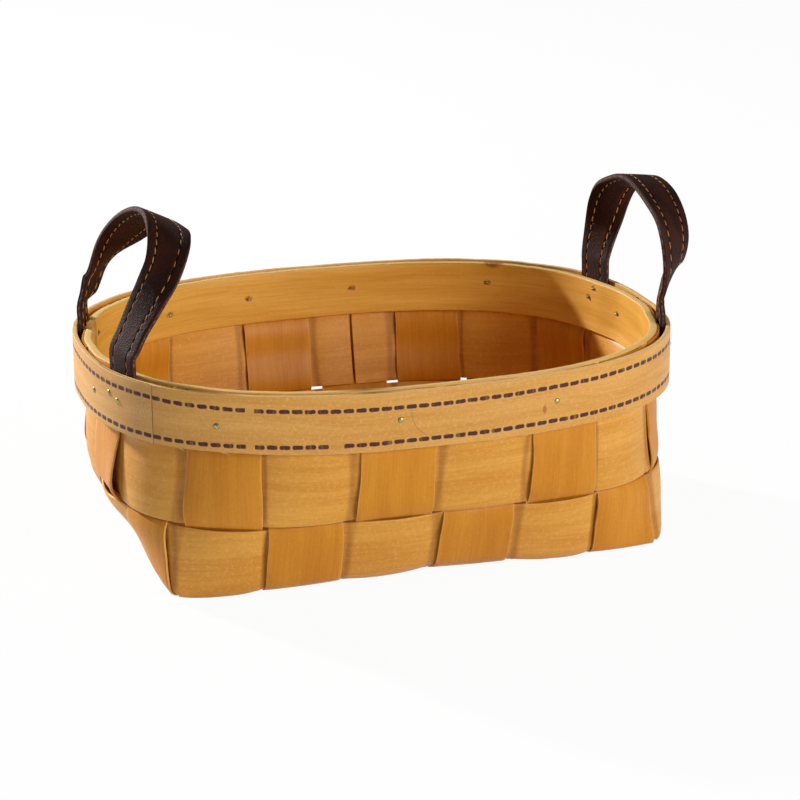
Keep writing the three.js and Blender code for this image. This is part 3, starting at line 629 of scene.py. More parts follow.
# %% Where the strips and weavers lie
UPPER = (-1.1, 28.4)      # the weavers' edges, down from the body's top
LOWER = (29.6, 58.6)
STAKE_TOP = 79.4
CROSS_HALF = 27.3 / (BASE_LENGTH / 2 + LONG_SIDE["span"])
LONG_HALF = 27.0 / (BASE_WIDTH / 2 + SHORT_SIDE["span"])
EDGE_LONG_HALF = 25.0 / (BASE_WIDTH / 2 + SHORT_SIDE["span"])
OUTER_CROSS = 1 - 2.8 / LONG_SIDE["span"] - CROSS_HALF
OUTER_LONG = 1 - 2.8 / SHORT_SIDE["span"] - EDGE_LONG_HALF
CROSS = [(i + 1, c * OUTER_CROSS, CROSS_HALF)
         for i, c in enumerate([-1, -0.617, -0.2033, 0.2081, 0.622, 1])]
LONG = [(i + 1, c * OUTER_LONG, EDGE_LONG_HALF if abs(c) == 1 else LONG_HALF)
        for i, c in enumerate([-1, -0.329, 0.329, 1])]


def cross_outside(cross, long):
    return (cross + long) % 2 == 0


def outside_profile(proud):
    return [0.1, -proud, 0.1]


INSIDE_PROFILE = [1.05, 1.2, 1.05]
WEAVER_OUT = [0.2, -0.62, 0.2]
WEAVER_IN = [1.08, 1.25, 1.08]
print("cross strips at", [round(c, 3) for _, c, _ in CROSS])
print("long strips at", [round(c, 3) for _, c, _ in LONG])


# %% Rows of a strip
def strip_rows(near, far, crossings, outside, prouds):
    """Rows from the near rim over the floor to the far rim: wall, place down for a share,
    depth. outside(n) says whether the strip lies outside piece n; -1 and 0 are the
    weavers of the near wall and the last two numbers those of the far wall."""
    side = WALLS[near][0]
    count = len(crossings)

    def wall_part(wall, upper, lower):
        spans = [(UPPER, upper, prouds[0]), (LOWER, lower, prouds[1])]
        rows = [(wall, lambda s: BODY_TOP - STAKE_TOP + 0 * s, 0.2),
                (wall, lambda s: UPPER[0] - STRIP + 0 * s, 0.15)]
        for (start, end), out, proud in spans:
            depths = outside_profile(proud) if out else INSIDE_PROFILE
            for place, depth in zip((start, (start + end) / 2, end), depths):
                rows.append((wall, lambda s, place=place: place + 0 * s, depth))
        return rows

    def floor_down(place):
        return lambda s: look_up(side["floor_down"], np.abs(s), 0 * s + abs(place))

    floor = []
    reach = side["other"]["half_across"]
    for index, (_, centre, half) in enumerate(crossings):
        depths = outside_profile(0.25) if outside(index + 1) else INSIDE_PROFILE
        for share, depth in zip((centre - half, centre, centre + half), depths):
            wall = near if share < 0 else far
            floor.append((wall, floor_down(share * reach), depth))
    turn = next(i for i, row in enumerate(floor) if row[0] == far)
    level = (floor[turn - 1][2] + floor[turn][2]) / 2
    floor[turn:turn] = [(near, floor_down(0), level), (far, floor_down(0), level)]
    first = wall_part(near, outside(-1), outside(0))
    last = wall_part(far, outside(count + 2), outside(count + 1))[::-1]

    def bend(wall, row, depth):
        return (wall, lambda s, row=row: (row[1](s) + LOWER[1]) / 2, depth)

    start_bend = bend(near, floor[0], (first[-1][2] + floor[0][2]) / 2)
    end_bend = bend(far, floor[-1], (last[0][2] + floor[-1][2]) / 2)
    return [*first, start_bend, *floor, end_bend, *last]


def strip_sheet(name, rows, centre, half, seed, lumps):
    """A strip on its rows, evened out along its length, with its slow waviness and lumps."""
    spread = np.linspace(-1, 1, SHEET_COLUMNS)
    shares = centre + half * spread
    downs = np.array([row[1](shares) for row in rows])
    line = np.array([body_point(row[0], centre, row[1](np.array(centre))) for row in rows])
    knots = np.r_[0, np.cumsum(np.linalg.norm(np.diff(line, axis=0), axis=-1))]
    keep = np.r_[True, np.diff(knots) > 1e-6]
    places, walls, pick = [], [], []
    for k in range(len(rows) - 1):
        length = knots[k + 1] - knots[k]
        if length < 1e-6:
            continue
        count = max(2, round(length / SHEET_STEP))
        for i in range(count):
            places.append(knots[k] + length * i / count)
            walls.append(rows[k][0])
            pick.append((k, i / count))
    places.append(knots[-1])
    walls.append(rows[-1][0])
    pick.append((len(rows) - 2, 1.0))
    places = np.array(places)
    depth = hermite(knots[keep], np.array([row[2] for row in rows])[keep], places)
    points = np.zeros((len(places), SHEET_COLUMNS, 3))
    normals, deeps = np.zeros_like(points), np.zeros((len(places), SHEET_COLUMNS))
    sway_left = wobble(seed, places, 90, 0.006 * half / CROSS_HALF)
    sway_right = wobble(seed + 50, places, 110, 0.006 * half / CROSS_HALF)
    tilt = wobble(seed + 90, places, 70, 0.12)
    for r, ((k, part), wall) in enumerate(zip(pick, walls)):
        down = downs[k] * (1 - part) + downs[k + 1] * part
        sway = np.where(spread < 0, sway_left[r], sway_right[r]) * np.abs(spread)
        deep = depth[r] + 0.16 * spread ** 2 * np.sign(0.5 - depth[r]) + tilt[r] * spread * 0.6
        deep = lumped(deep, places[r], spread, lumps)
        deeps[r] = deep
        points[r] = settled(sunk(wall, shares + sway, down, deep))
        normals[r] = -body_normal(wall, shares, down)
    width = np.linalg.norm(points[:, -1] - points[:, 0], axis=-1).mean()
    across = np.broadcast_to(spread * width / 2, points.shape[:2])
    along = np.broadcast_to((places + seed * 37.0)[:, None], points.shape[:2])
    mesh = sheet_mesh(name, points, across, along, normals, deeps)
    obj = link(bpy.data.objects.new(name, mesh))
    thicken(obj)
    return obj, width / 2


# %% Make the ten strips
BULGE = (42.0, -1.0, 13.0, 0.45, 1.9)


def finish_strip(obj, node, finish):
    obj.data.materials.append(finish.material)
    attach(obj, "basket")
    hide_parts(node)
    print(node, len(obj.data.polygons), "faces")


for number, centre, half in CROSS:
    rows = strip_rows("front", "back", LONG, lambda n, c=number: cross_outside(c, n), (0.55, 0.6))
    obj, edge = strip_sheet(f"cross_strip_{number}_wood", rows, centre, half, number, [])
    name = f"cross_strip_wood_{number}"
    finish = wood(name, PALE_STRIP, DEEP_STRIP, edge, number * 3.7, 0.3)
    finish_strip(obj, f"cross_strip_{number}", finish)
for number, centre, half in LONG:
    rows = strip_rows(
        "left", "right", CROSS, lambda n, c=number: not cross_outside(n, c), (0.6, 0.6))
    lumps = [BULGE] if number == 2 else []
    obj, edge = strip_sheet(f"long_strip_{number}_wood", rows, centre, half, number + 20, lumps)
    name = f"long_strip_wood_{number}"
    finish = wood(name, PALE_STRIP, DEEP_STRIP, edge, number * 5.3, 0.4)
    finish_strip(obj, f"long_strip_{number}", finish)

# %% [markdown]
# ## The weavers
# Two strips go round the walls, one above the other. Each turns four corners, and its
# ends butt under an upright strip at the back, where they don't show.

# %% Columns round the body
CORNER_REACH = 2.6
BUTT_GAP = 1.0
BEND = {wall: 1 - CORNER_REACH / WALLS[wall][0]["span"] for wall in WALLS}
RUNS = [("front", CROSS, 1), ("right", LONG, 1), ("back", CROSS, -1), ("left", LONG, -1)]


def corner_column(before, after, part, downs, depth):
    """The weaver bends round a corner on a curve towards the meeting of two walls."""
    (wall_a, share_a), (wall_b, share_b) = before, after
    start, end = sunk(wall_a, share_a, downs, depth), sunk(wall_b, share_b, downs, depth)
    a = body_point(wall_a, np.sign(share_a), downs)
    b = body_point(wall_b, np.sign(share_b), downs)
    long, short = (a, b) if wall_a in ("front", "back") else (b, a)
    meet = np.stack([short[..., 0], long[..., 1], (a[..., 2] + b[..., 2]) / 2], -1)
    normal_a, normal_b = body_normal(wall_a, share_a, downs), body_normal(wall_b, share_b, downs)
    miter = (normal_a + normal_b) / (1 + np.sum(normal_a * normal_b, -1, keepdims=True))
    control = meet + miter * np.asarray(depth)[..., None]
    return start * (1 - part) ** 2 + 2 * control * part * (1 - part) + end * part ** 2


def weaver_columns(seam_share):
    """Columns from the seam on the back wall, on round the left, front and right."""
    columns = []
    for index, (wall, _, way) in enumerate(RUNS):
        span = WALLS[wall][0]["span"]
        count = round(2 * BEND[wall] * span / SHEET_STEP)
        shares = way * np.linspace(-BEND[wall], BEND[wall], count + 1)
        columns += [(wall, share) for share in shares]
        following, _, next_way = RUNS[(index + 1) % 4]
        before, after = (wall, shares[-1]), (following, -next_way * BEND[following])
        columns += [("corner", (before, after, part / 6)) for part in range(1, 6)]
    gap = BUTT_GAP / 2 / LONG_SIDE["span"]
    first = next(i for i, c in enumerate(columns) if c[0] == "back")
    turned = columns[first:] + columns[:first]
    ahead = [c for c in turned if c[0] == "back" and c[1] < seam_share - gap]
    behind = [c for c in turned if c[0] == "back" and c[1] > seam_share + gap]
    rest = [c for c in turned if c[0] != "back"]
    return [("back", seam_share - gap), *ahead, *rest, *behind, ("back", seam_share + gap)]


def weaver_sheet(name, rows_between, outside, seam_share, seed, lumps):
    """A weaver between two levels. outside(wall, number) says where it passes outside."""
    columns = weaver_columns(seam_share)
    spread = np.linspace(-1, 1, SHEET_COLUMNS)
    middle, half = sum(rows_between) / 2, (rows_between[1] - rows_between[0]) / 2

    def column_points(column, down, depth):
        if column[0] == "corner":
            return corner_column(*column[1], down, depth)
        return sunk(column[0], np.full_like(down, column[1]), down, depth)

    line = np.array([column_points(c, np.array([middle]), np.array([0.0]))[0] for c in columns])
    places = np.r_[0, np.cumsum(np.linalg.norm(np.diff(line, axis=0), axis=-1))]
    found = [(0.0, 1.2), (places[-1], 1.2)]
    for wall, strips, _ in RUNS:
        order = sorted((c[1], p) for c, p in zip(columns, places) if c[0] == wall)
        for number, centre, strip_half in strips:
            profile = WEAVER_OUT if outside(wall, number) else WEAVER_IN
            for share, depth in zip((centre - strip_half, centre, centre + strip_half), profile):
                found.append((float(np.interp(share, *np.array(order).T)), depth))
    knots, depths = np.array(sorted(found)).T
    keep = np.r_[True, np.diff(knots) > 0.5]
    knots, depths = knots[keep], depths[keep]
    depth = hermite(knots, depths, places)
    found_lumps = []
    for wall, share, *rest in lumps:
        order = sorted((c[1], p) for c, p in zip(columns, places) if c[0] == wall)
        found_lumps.append((np.interp(share, *np.array(order).T), *rest))
    sway_top = wobble(seed, places, 120, 0.28)
    sway_bottom = wobble(seed + 7, places, 100, 0.28)
    tilt = wobble(seed + 13, places, 90, 0.1)
    points = np.zeros((SHEET_COLUMNS, len(columns), 3))
    deeps = np.zeros((SHEET_COLUMNS, len(columns)))
    for c, column in enumerate(columns):
        sway = np.where(spread < 0, sway_top[c], sway_bottom[c]) * np.abs(spread)
        deep = depth[c] + 0.14 * spread ** 2 * np.sign(0.5 - depth[c]) + tilt[c] * spread * 0.6
        deep = lumped(deep, places[c], spread, found_lumps)
        deeps[:, c] = deep
        points[:, c] = settled(column_points(column, middle + half * spread + sway, deep))
    facing = points - np.array([0, 0, BODY_TOP / 2])
    across = np.broadcast_to((spread * half)[:, None], points.shape[:2])
    along = np.broadcast_to((places + seed * 61.0)[None], points.shape[:2])
    mesh = sheet_mesh(name, points, across, along, facing, deeps)
    obj = link(bpy.data.objects.new(name, mesh))
    thicken(obj)
    return obj, half, places[-1]


# %% Make the two weavers
LUMP = ("left", LONG[1][1], -0.8, 13.0, 0.7, 1.3)


def passes_outside(turns):
    """turns numbers a weaver from each wall, so that it counts as one more strip there."""
    def outside(wall, number):
        if wall in ("front", "back"):
            return not cross_outside(number, turns[wall])
        return cross_outside(turns[wall], number)
    return outside


lower_outside = passes_outside({"front": 0, "back": 5, "left": 0, "right": 7})
upper_outside = passes_outside({"front": -1, "back": 6, "left": -1, "right": 8})
for name, levels, outside, seam, seed, lumps in [
    ("lower_weaver", LOWER, lower_outside, CROSS[2][1], 3, [LUMP]),
    ("upper_weaver", UPPER, upper_outside, CROSS[3][1], 5, []),
]:
    obj, edge, length = weaver_sheet(f"{name}_wood", levels, outside, seam, seed, lumps)
    finish = wood(f"{name}_finish", PALE_WEAVER_SHEEN, DEEP_WEAVER_SHEEN, edge, seed * 7.1, 0.8)
    finish_strip(obj, name, finish)
    print(name, "length", round(length), "mm")

# %% [markdown]
# ## Bars with a soft section
# The hoops and the straps are long bars. A grid makes their faces: its rows go along the
# bar and its columns round the section. The first and the last column lie on each other,
# so merging doubles closes the bar, and a fill closes its ends. The map is written on the
# corners of the faces before the merge, which gives the pattern a clean seam.

# %% Bar maker
def bar_mesh(name, points, across, along):
    rows, columns = points.shape[:2]
    bm = bmesh.new()
    bmesh.ops.create_grid(bm, x_segments=columns - 1, y_segments=rows - 1, size=1)
    grain = bm.loops.layers.uv.new("grain")
    spots = {}
    for vert in bm.verts:
        row, column = (vert.co.y + 1) / 2 * (rows - 1), (vert.co.x + 1) / 2 * (columns - 1)
        spots[vert] = round(row), round(column)
    for face in bm.faces:
        for loop in face.loops:
            spot = spots[loop.vert]
            loop[grain].uv = (across[spot] * MM, along[spot] * MM)
    for vert, spot in spots.items():
        vert.co = points[spot] * MM
    bmesh.ops.remove_doubles(bm, verts=bm.verts, dist=1e-7)
    bmesh.ops.holes_fill(bm, edges=[edge for edge in bm.edges if edge.is_boundary], sides=0)
    bmesh.ops.recalc_face_normals(bm, faces=bm.faces)
    mesh = bpy.data.meshes.new(name)
    bm.to_mesh(mesh)
    bm.free()
    return mesh


def finished(name, mesh, finish, sharp=50):
    """A linked object with its finish, with edges sharper than an angle left sharp."""
    mesh.shade_smooth()
    mesh.set_sharp_from_angle(angle=math.radians(sharp))
    mesh.materials.append(finish.material)
    return link(bpy.data.objects.new(name, mesh))


print("bar maker ready")

# %% [markdown]
# ## The outer hoop
# The outer hoop is one thin band of pale wood, bent round and lapped. Both ends are
# thinned to a long wedge, so the lap is hardly thicker than the band and shows as one
# upright line at the front left. Its section is a list of places: on the outer or the
# inner face, how far the soft corner has turned, and how high.

# %% Section of a band
def band_section(height, radius, faces):
    turns = [math.radians(angle) for angle in (30, 60)]
    low = [(1 - math.cos(a), radius - radius * math.sin(a)) for a in reversed(turns)]
    face = [(0.0, h) for h in np.linspace(radius, height - radius, faces + 1)]
    high = [(1 - math.cos(a), height - radius + radius * math.sin(a)) for a in turns]
    half = [(1.0, 0.0), *low, *face, *high, (1.0, height)]
    ease = np.array([e for e, _ in half] + [e for e, _ in reversed(half)] + [1.0])
    level = np.array([h for _, h in half] + [h for _, h in reversed(half)] + [0.0])
    inner = np.array([False] * len(half) + [True] * len(half) + [False])
    return ease, level, inner


def band_points(shape, places, outer, inner, bottom, top, section, radius):
    """Rows along the band, and the distance round the section from its lower outer edge."""
    ease, level, inside = section
    point, normal = ring(shape, places)
    soft = np.minimum(radius, 0.45 * (inner - outer))[:, None] * ease
    depth = np.where(inside, inner[:, None] - soft, outer[:, None] + soft)
    share = level / level.max()
    z = bottom[:, None] + (top - bottom)[:, None] * share
    flat = point[:, None] - normal[:, None] * depth[..., None]
    points = np.concatenate([flat, z[..., None]], -1)
    thick = (inner - outer).max()
    side = np.where(inside, thick - radius * ease, radius * ease)
    run = np.r_[0, np.cumsum(np.hypot(np.diff(side), np.diff(level)))]
    return points, np.broadcast_to(run, depth.shape)

# %% Outer hoop shape
HOOP_TURN = 4 * HOOP["distance"][-1]
HOOP_BOTTOM = HEIGHT - HOOP_HEIGHT
HOOP_EDGE, BAND_FACES = 0.3, 8
LAP, TIP, STEP = 34.0, 0.25, 0.3
LAP_PLACE = 0.8385
LAP_END = LAP_PLACE * HOOP_TURN + HOOP_TURN
LAP_START = LAP_END - HOOP_TURN - LAP
run = np.r_[
    np.linspace(0, LAP, 20), np.linspace(LAP + STEP, HOOP_TURN - STEP, 380),
    np.linspace(HOOP_TURN, HOOP_TURN + LAP, 20),
]
slope = HOOP_THICKNESS - TIP + (TIP + STEP - HOOP_THICKNESS + TIP) * np.mod(run, HOOP_TURN) / LAP
outer_depth = np.where(run <= LAP, slope, 0.0)
inner_depth = np.where(run >= HOOP_TURN, slope - STEP, HOOP_THICKNESS)
places = LAP_START + run
rng = np.random.default_rng(11)
lift = np.interp(np.mod(places, HOOP_TURN), [0, 40, 90, 545, 590, 612, 636, HOOP_TURN],
                 [-0.2, 0.1, 0, 0.3, 0.25, -0.1, -0.3, -0.2])
top = HEIGHT - 0.1 + lift + wobble(33, places, 75, 0.12) + rng.normal(0, 0.035, len(places))
bottom = HOOP_BOTTOM + lift + wobble(35, places, 60, 0.1) + rng.normal(0, 0.03, len(places))
section = band_section(HOOP_HEIGHT, HOOP_EDGE, BAND_FACES)
points, around = band_points(HOOP, places, outer_depth, inner_depth, bottom, top, section,
                             HOOP_EDGE)
along_band = np.broadcast_to(places[:, None], around.shape)
outer_mesh = bar_mesh("outer_hoop_wood", points, around, along_band)
print("outer hoop", round(HOOP_TURN + LAP), "mm of band,", len(outer_mesh.polygons), "faces")

# %% [markdown]
# Two rows of short dark dashes are printed on the band, like a running stitch. A dash is a
# rounded bar: the distance from a short line, rounded off and made ragged by noise, and
# repeated along the band. The print starts and ends at one place, which leaves a longer
# gap there. Each row wanders up or down a little on its way round. The ink is uneven, and
# in the lower row it fails at one place.

# %% Printed dashes
PRINT_GAP = HOOP_TURN - 69.25
DASH_PITCH, PITCH_LOST = 4.72, 0.2163
DASH_HALF_LENGTH, DASH_HALF_HEIGHT = 1.2, 0.08


def dashes(finish, across, along, row, weak):
    """1 on the dashes of the row at height row, with hardly any ink near the place weak."""
    past = along - PRINT_GAP
    away = past.absolute()
    pitch = DASH_PITCH - past.ramp(-0.1, 0.1) * PITCH_LOST
    beat = ((away - 3.15) / pitch + 0.5).fraction() - 0.5
    ragged = finish.noise(finish.vector(along * 0.9, across * 1.4, row), 1.0, 4.0, 0.65) - 0.5
    sideways = ((beat * pitch).absolute() - DASH_HALF_LENGTH - ragged * 0.5).most(0)
    upwards = ((across - row).absolute() - DASH_HALF_HEIGHT).most(0)
    mask = 1 - ((sideways * sideways + upwards * upwards).root() + ragged * 0.7).ramp(0.56, 0.84)
    ink = finish.noise(finish.vector(along * 0.5, row), 1.0, 2.0).ramp(0.25, 0.5) * 0.3 + 0.7
    fails = 1 - (along - weak).absolute().ramp(1.6, 3.2)
    return mask * ink * (1 - fails * 0.85) * away.ramp(1.5, 1.7) * (1 - across.ramp(20.9, 21.1))


def spot(across, along, centre, half):
    """1 in an oval at centre (along, across) with half sizes half, fading out at its edge."""
    x, y = (along - centre[0]) / half[0], (across - centre[1]) / half[1]
    return 1 - (x * x + y * y).root().ramp(0.55, 1.0)


def sawn(across, top, half, above, below):
    """1 on a band's sawn edges: round top, past the ramp above, and short of the one below."""
    upper = 1 - (across - top).absolute().ramp(*half)
    return upper.most(across.ramp(*above)).most(1 - across.ramp(*below))


print("print and marks ready")

# %% Outer hoop finish
PALE_BAND, DEEP_BAND = linear(225, 169, 88), linear(205, 141, 58)
finish = Finish("outer_hoop_finish")
across, along = finish.surface()
colour, height, fibres = grain(finish, across, along, PALE_BAND, DEEP_BAND, 4.2, 0.8)
tip = along - LAP_END
# Towards the lapped tip the band is painted paler: partly its own lighter wood, partly painted light falling from
# the left.
paler_lap_and_light = tip.ramp(-55, -6) * (1 - tip.ramp(0.0, 0.1))
colour = finish.mix(paler_lap_and_light * 0.22, colour, linear(216, 180, 122))
start = along - (LAP_START + LAP)
darker = (1 - start.ramp(0.2, 9.0)) * start.ramp(-0.6, -0.2)
colour = finish.mix(darker * 0.2, colour, linear(190, 128, 58))
seam = 1 - start.absolute().ramp(0.25, 0.6)
colour = finish.mix(seam * 0.28, colour, linear(130, 80, 38))
scuffed = spot(across, along, (LAP_END - 6.5, 12.0), (8.5, 5.5))
scratch = finish.noise(finish.vector(along * 1.5, across * 2.6, 3.0), 1.0, 4.0, 0.7)
colour = finish.mix(scuffed * scratch.ramp(0.56, 0.66) * 0.8, colour, linear(250, 232, 196))
colour = finish.mix(scuffed * (1 - scratch.ramp(0.36, 0.44)) * 0.7, colour, linear(160, 108, 54))
knot = spot(across, along, (HOOP_TURN + 38.5, 8.7), (1.0, 1.9))
colour = finish.mix(knot * 0.8, colour, linear(176, 92, 36))
hair_x, hair_y = along - (HOOP_TURN - 2.4), across - 13.6
bend = ((hair_x * hair_x + hair_y * hair_y).root() - 9.6).absolute()
hair = (1 - bend.ramp(0.08, 0.24)) * (1 - hair_x.ramp(3.2, 4.4)) * (1 - hair_y.ramp(1.2, 1.8))
hair = hair * finish.noise(finish.vector(along * 0.8, across * 0.8), 1.0, 1.0).ramp(0.36, 0.46)
colour = finish.mix(hair * 0.55, colour, linear(126, 112, 66))
cut = sawn(across, 22.44, (0.75, 1.1), (44.5, 44.8), (0.1, 0.35))
shreds = finish.noise(finish.vector(along * 1.2, across * 4.0), 1.0, 3.0, 0.7)
colour = finish.mix(cut * 0.7, colour, linear(236, 200, 140))
colour = finish.mix(cut * shreds.ramp(0.52, 0.66) * 0.5, colour, linear(176, 122, 64))
turned_by = along - (along - 1.5 * HOOP_TURN).ramp(-0.1, 0.1) * HOOP_TURN
climb = (turned_by - (HOOP_TURN - 20)) * 0.01
high = (climb * climb * 1.6).least(1.4) + 15.9
from_back = (HOOP_TURN * 0.5 + 20) * 0.01 - climb
low = (climb * 0.9).least(1.0).least(from_back * 1.2 - 0.6).most(-0.6) + 3.3
NOWHERE = HOOP_TURN * 3
print_mask = dashes(finish, across, along, high, NOWHERE).most(
    dashes(finish, across, along, low, HOOP_TURN - 38.9))
colour = finish.mix(print_mask, colour, linear(76, 38, 34))
height = height + cut * shreds * 2.0 + scuffed * scratch * 1.5
finish.set(
    Base_Color=colour,
    Roughness=fibres.ramp(0.2, 0.8) * 0.1 + 0.4 + cut * 0.3,
    Normal=finish.bump(height, 0.0001, 0.6),
    Specular_IOR_Level=VARNISH_GLOSS,
)
outer_hoop = finished("outer_hoop_wood", outer_mesh, finish)
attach(outer_hoop, "basket")
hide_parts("outer_hoop")
print("outer hoop done")

# %% [markdown]
# Where the band was sawn, a few splinters still hang from its lower edge. Each is a thin
# cone, turned along the band.

# %% Splinters
SPLINTERS = [(-95.8, 4.2, 0.5), (-78.4, 3.4, 0.35), (-52.4, 2.6, 0.15), (31.0, 2.2, 0.2)]
bm = bmesh.new()
for place, length, drop in SPLINTERS:
    (point,), (normal,) = ring(HOOP, np.array([HOOP_TURN + place]))
    way = np.array([-normal[1], normal[0], -drop])
    way = Vector(way / np.linalg.norm(way))
    spin = way.to_track_quat("Z", "X").to_matrix().to_4x4()
    spot_at = Vector((*(point - normal * 0.2), HOOP_BOTTOM + 0.1)) * MM
    bmesh.ops.create_cone(
        bm, cap_ends=True, segments=6, radius1=0.32 * MM, radius2=0.04 * MM,
        depth=length * MM, matrix=Matrix.Translation(spot_at) @ spin)
splinter_mesh = bpy.data.meshes.new("splinters")
bm.to_mesh(splinter_mesh)
bm.free()
finish = Finish("splinter_finish")
x, y, z = finish.split(finish.node("ShaderNodeTexCoord", {}, {}, 3))
streak = finish.noise(finish.vector(x * 900.0, y * 900.0, z * 900.0), 1.0, 2.0)
colour = finish.mix(streak, linear(238, 196, 128), linear(206, 150, 84))
finish.set(Base_Color=colour, Roughness=0.6)
splinters = finished("splinters", splinter_mesh, finish)
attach(splinters, "basket")
print("splinters", len(splinter_mesh.polygons), "faces")

# %% [markdown]
# ## The inner hoop
# The inner hoop is thicker and stiffer. It backs the strips, and its ends stop short of
# each other behind the rear foot of the left strap. The wood is yellower, with fine grain
# along it, and every nail that comes through it has left a small dark dent.

# %% Inner hoop shape
STAKE_TURN = 4 * STAKE_QUARTER
INNER_HEIGHT, INNER_EDGE = 20.6, 0.55
INNER_BOTTOM = HOOP_BOTTOM + HOOP_HEIGHT - INNER_HEIGHT
INNER_NEAR, INNER_FAR = 1.15, 4.15     # its faces, inwards from the strips' outline
OPENING_HALF = 5.75
HANDLES = {
    "left": {"end": -1, "front": -37.5, "rear": 35.5, "rise": 53.0, "lean": -26.0, "loop": [
        (-1.008, 0.385), (-1.064, 0.606), (-1.093, 0.788), (-0.993, 0.913), (-0.765, 1.0),
        (-0.147, 1.012), (0.348, 0.89), (0.8, 0.642), (1.035, 0.366)],
        "turns": [(36.0, 95.0), (17.6, 76.9)]},
    "right": {"end": 1, "front": -32.1, "rear": 34.5, "rise": 47.5, "lean": 6.5, "loop": [
        (-1.2, 0.46), (-1.096, 0.726), (-0.62, 0.935), (-0.043, 1.01), (0.42, 0.932),
        (0.74, 0.775), (0.91, 0.5)],
        "turns": [(12.0, 82.0), (22.0, 74.0)]},
}


def foot_distance(shape, end, y):
    quarter = shape["distance"][-1]
    past = quarter - np.interp(-abs(y), -shape["y"], shape["distance"])
    return (quarter if end > 0 else 3 * quarter) + end * np.sign(y) * past


opening = foot_distance(STAKE, -1, HANDLES["left"]["rear"]) + 4.5
places = np.linspace(opening + OPENING_HALF, opening + STAKE_TURN - OPENING_HALF, 380)
rng = np.random.default_rng(12)
top = HEIGHT - 0.1 + wobble(41, places, 90, 0.1) + rng.normal(0, 0.03, len(places))
bottom = INNER_BOTTOM + wobble(43, places, 90, 0.08)
near, far = np.full_like(places, INNER_NEAR), np.full_like(places, INNER_FAR)
section = band_section(INNER_HEIGHT, INNER_EDGE, BAND_FACES)
points, around = band_points(STAKE, places, near, far, bottom, top, section, INNER_EDGE)
KNOT_AT = (72.9, 68.0)
KNOT = float(places[np.hypot(points[:, 0, 0] - KNOT_AT[0], points[:, 0, 1] - KNOT_AT[1]).argmin()])
along_band = np.broadcast_to(places[:, None], around.shape)
inner_mesh = bar_mesh("inner_hoop_wood", settled(points), around, along_band)
print("inner hoop", round(places[-1] - places[0]), "mm of band,", len(inner_mesh.polygons), "faces")

# %% Where the nails go
# Along the wall, a nail's place is a share of the hoop's turn and a share of its height. At
# a foot, it is a share of the foot's width from its middle, and the same share of height.
FOOT_WIDTH = 16.0
WALL_NAILS = [(0.0656, 0.512), (0.2687, 0.549), (0.3852, 0.628), (0.4748, 0.567), (0.5428, 0.535),
              (0.5997, 0.474), (0.7807, 0.512), (0.8779, 0.46), (0.976, 0.502)]
FOOT_NAILS = [("left", "front", (0.3, 0.633)), ("left", "front", (-0.04, 0.549)),
              ("left", "rear", (0.19, 0.4)), ("left", "rear", (0.41, 0.72)),
              ("right", "front", (-0.15, 0.581)), ("right", "front", (0.19, 0.605)),
              ("right", "rear", (-0.36, 0.87)), ("right", "rear", (-0.12, 0.674))]


def meet(shape, depth, start, way):
    """Where a level line from start first meets the face at a depth inside an outline."""
    around = np.linspace(0, 4 * shape["distance"][-1], 4001)
    point, normal = ring(shape, around)
    corner = point - normal * depth
    edge = np.diff(corner, axis=0)
    offset = corner[:-1] - start
    cross = way[0] * edge[:, 1] - way[1] * edge[:, 0]
    distance = (offset[:, 0] * edge[:, 1] - offset[:, 1] * edge[:, 0]) / cross
    share = (offset[:, 0] * way[1] - offset[:, 1] * way[0]) / cross
    good = (share >= 0) & (share <= 1) & (distance > -3)
    best = np.flatnonzero(good)[np.argmin(distance[good])]
    return distance[best], around[best]


nail_spots = []
for place, rise in WALL_NAILS:
    (point,), (normal,) = ring(HOOP, np.array([place * HOOP_TURN]))
    nail_spots.append((point, normal, rise))
for name, foot, (offset, rise) in FOOT_NAILS:
    handle = HANDLES[name]
    centre = foot_distance(FOOT, handle["end"], handle[foot])
    (point,), (normal,) = ring(FOOT, np.array([centre + handle["end"] * offset * FOOT_WIDTH]))
    nail_spots.append((point + normal * 3.5, normal, rise))
nails = []
for point, normal, rise in nail_spots:
    outside, _ = meet(HOOP, 0.0, point, -normal)
    inside, dent = meet(STAKE, INNER_FAR, point, -normal)
    z = HOOP_BOTTOM + rise * HOOP_HEIGHT
    head = np.array([*(point - normal * outside), z])
    tail = settled(np.array([*(point - normal * inside), z]))
    nails.append({"head": head, "tail": tail, "normal": normal, "dent": dent, "level": z})
print("nails", len(nails))

# %% Inner hoop finish
PALE_INNER, DEEP_INNER = linear(240, 184, 84), linear(216, 152, 48)
INNER_FACE = 103.4     # on the inner face, the way round the section plus the height
finish = Finish("inner_hoop_finish")
across, along = finish.surface()
colour, height, fibres = grain(finish, across, along, PALE_INNER, DEEP_INNER, 9.1, 0.3)
streaks = finish.noise(finish.vector(across * 3.2, along * 0.02, 5.0), 1.0, 3.0, 0.6)
colour = finish.mix(streaks.ramp(0.5, 0.7) * 0.35, colour, linear(188, 120, 36))
cut = sawn(across, 22.15, (1.1, 1.6), (43.9, 44.3), (0.2, 0.6))
shreds = finish.noise(finish.vector(along * 1.0, across * 3.0, 2.0), 1.0, 3.0, 0.7)
layers = finish.noise(finish.vector(along * 0.05, across * 5.0, 8.0), 1.0, 2.0)
colour = finish.mix(cut * 0.75, colour, linear(238, 204, 134))
colour = finish.mix(cut * shreds.ramp(0.5, 0.68) * 0.5, colour, linear(190, 138, 70))
colour = finish.mix(cut * layers.ramp(0.55, 0.68) * 0.4, colour, linear(170, 116, 56))
first = opening + OPENING_HALF
dents = None
for nail in nails:
    centre = (first + (nail["dent"] - first) % STAKE_TURN, INNER_FACE - nail["level"])
    mark = spot(across, along, centre, (2.0, 1.5))
    dents = mark if dents is None else dents.most(mark)
ring_noise = finish.noise(finish.vector(along * 1.3, across * 1.3, 4.0), 1.0, 3.0, 0.7)
dents = dents * ring_noise.ramp(0.35, 0.55)
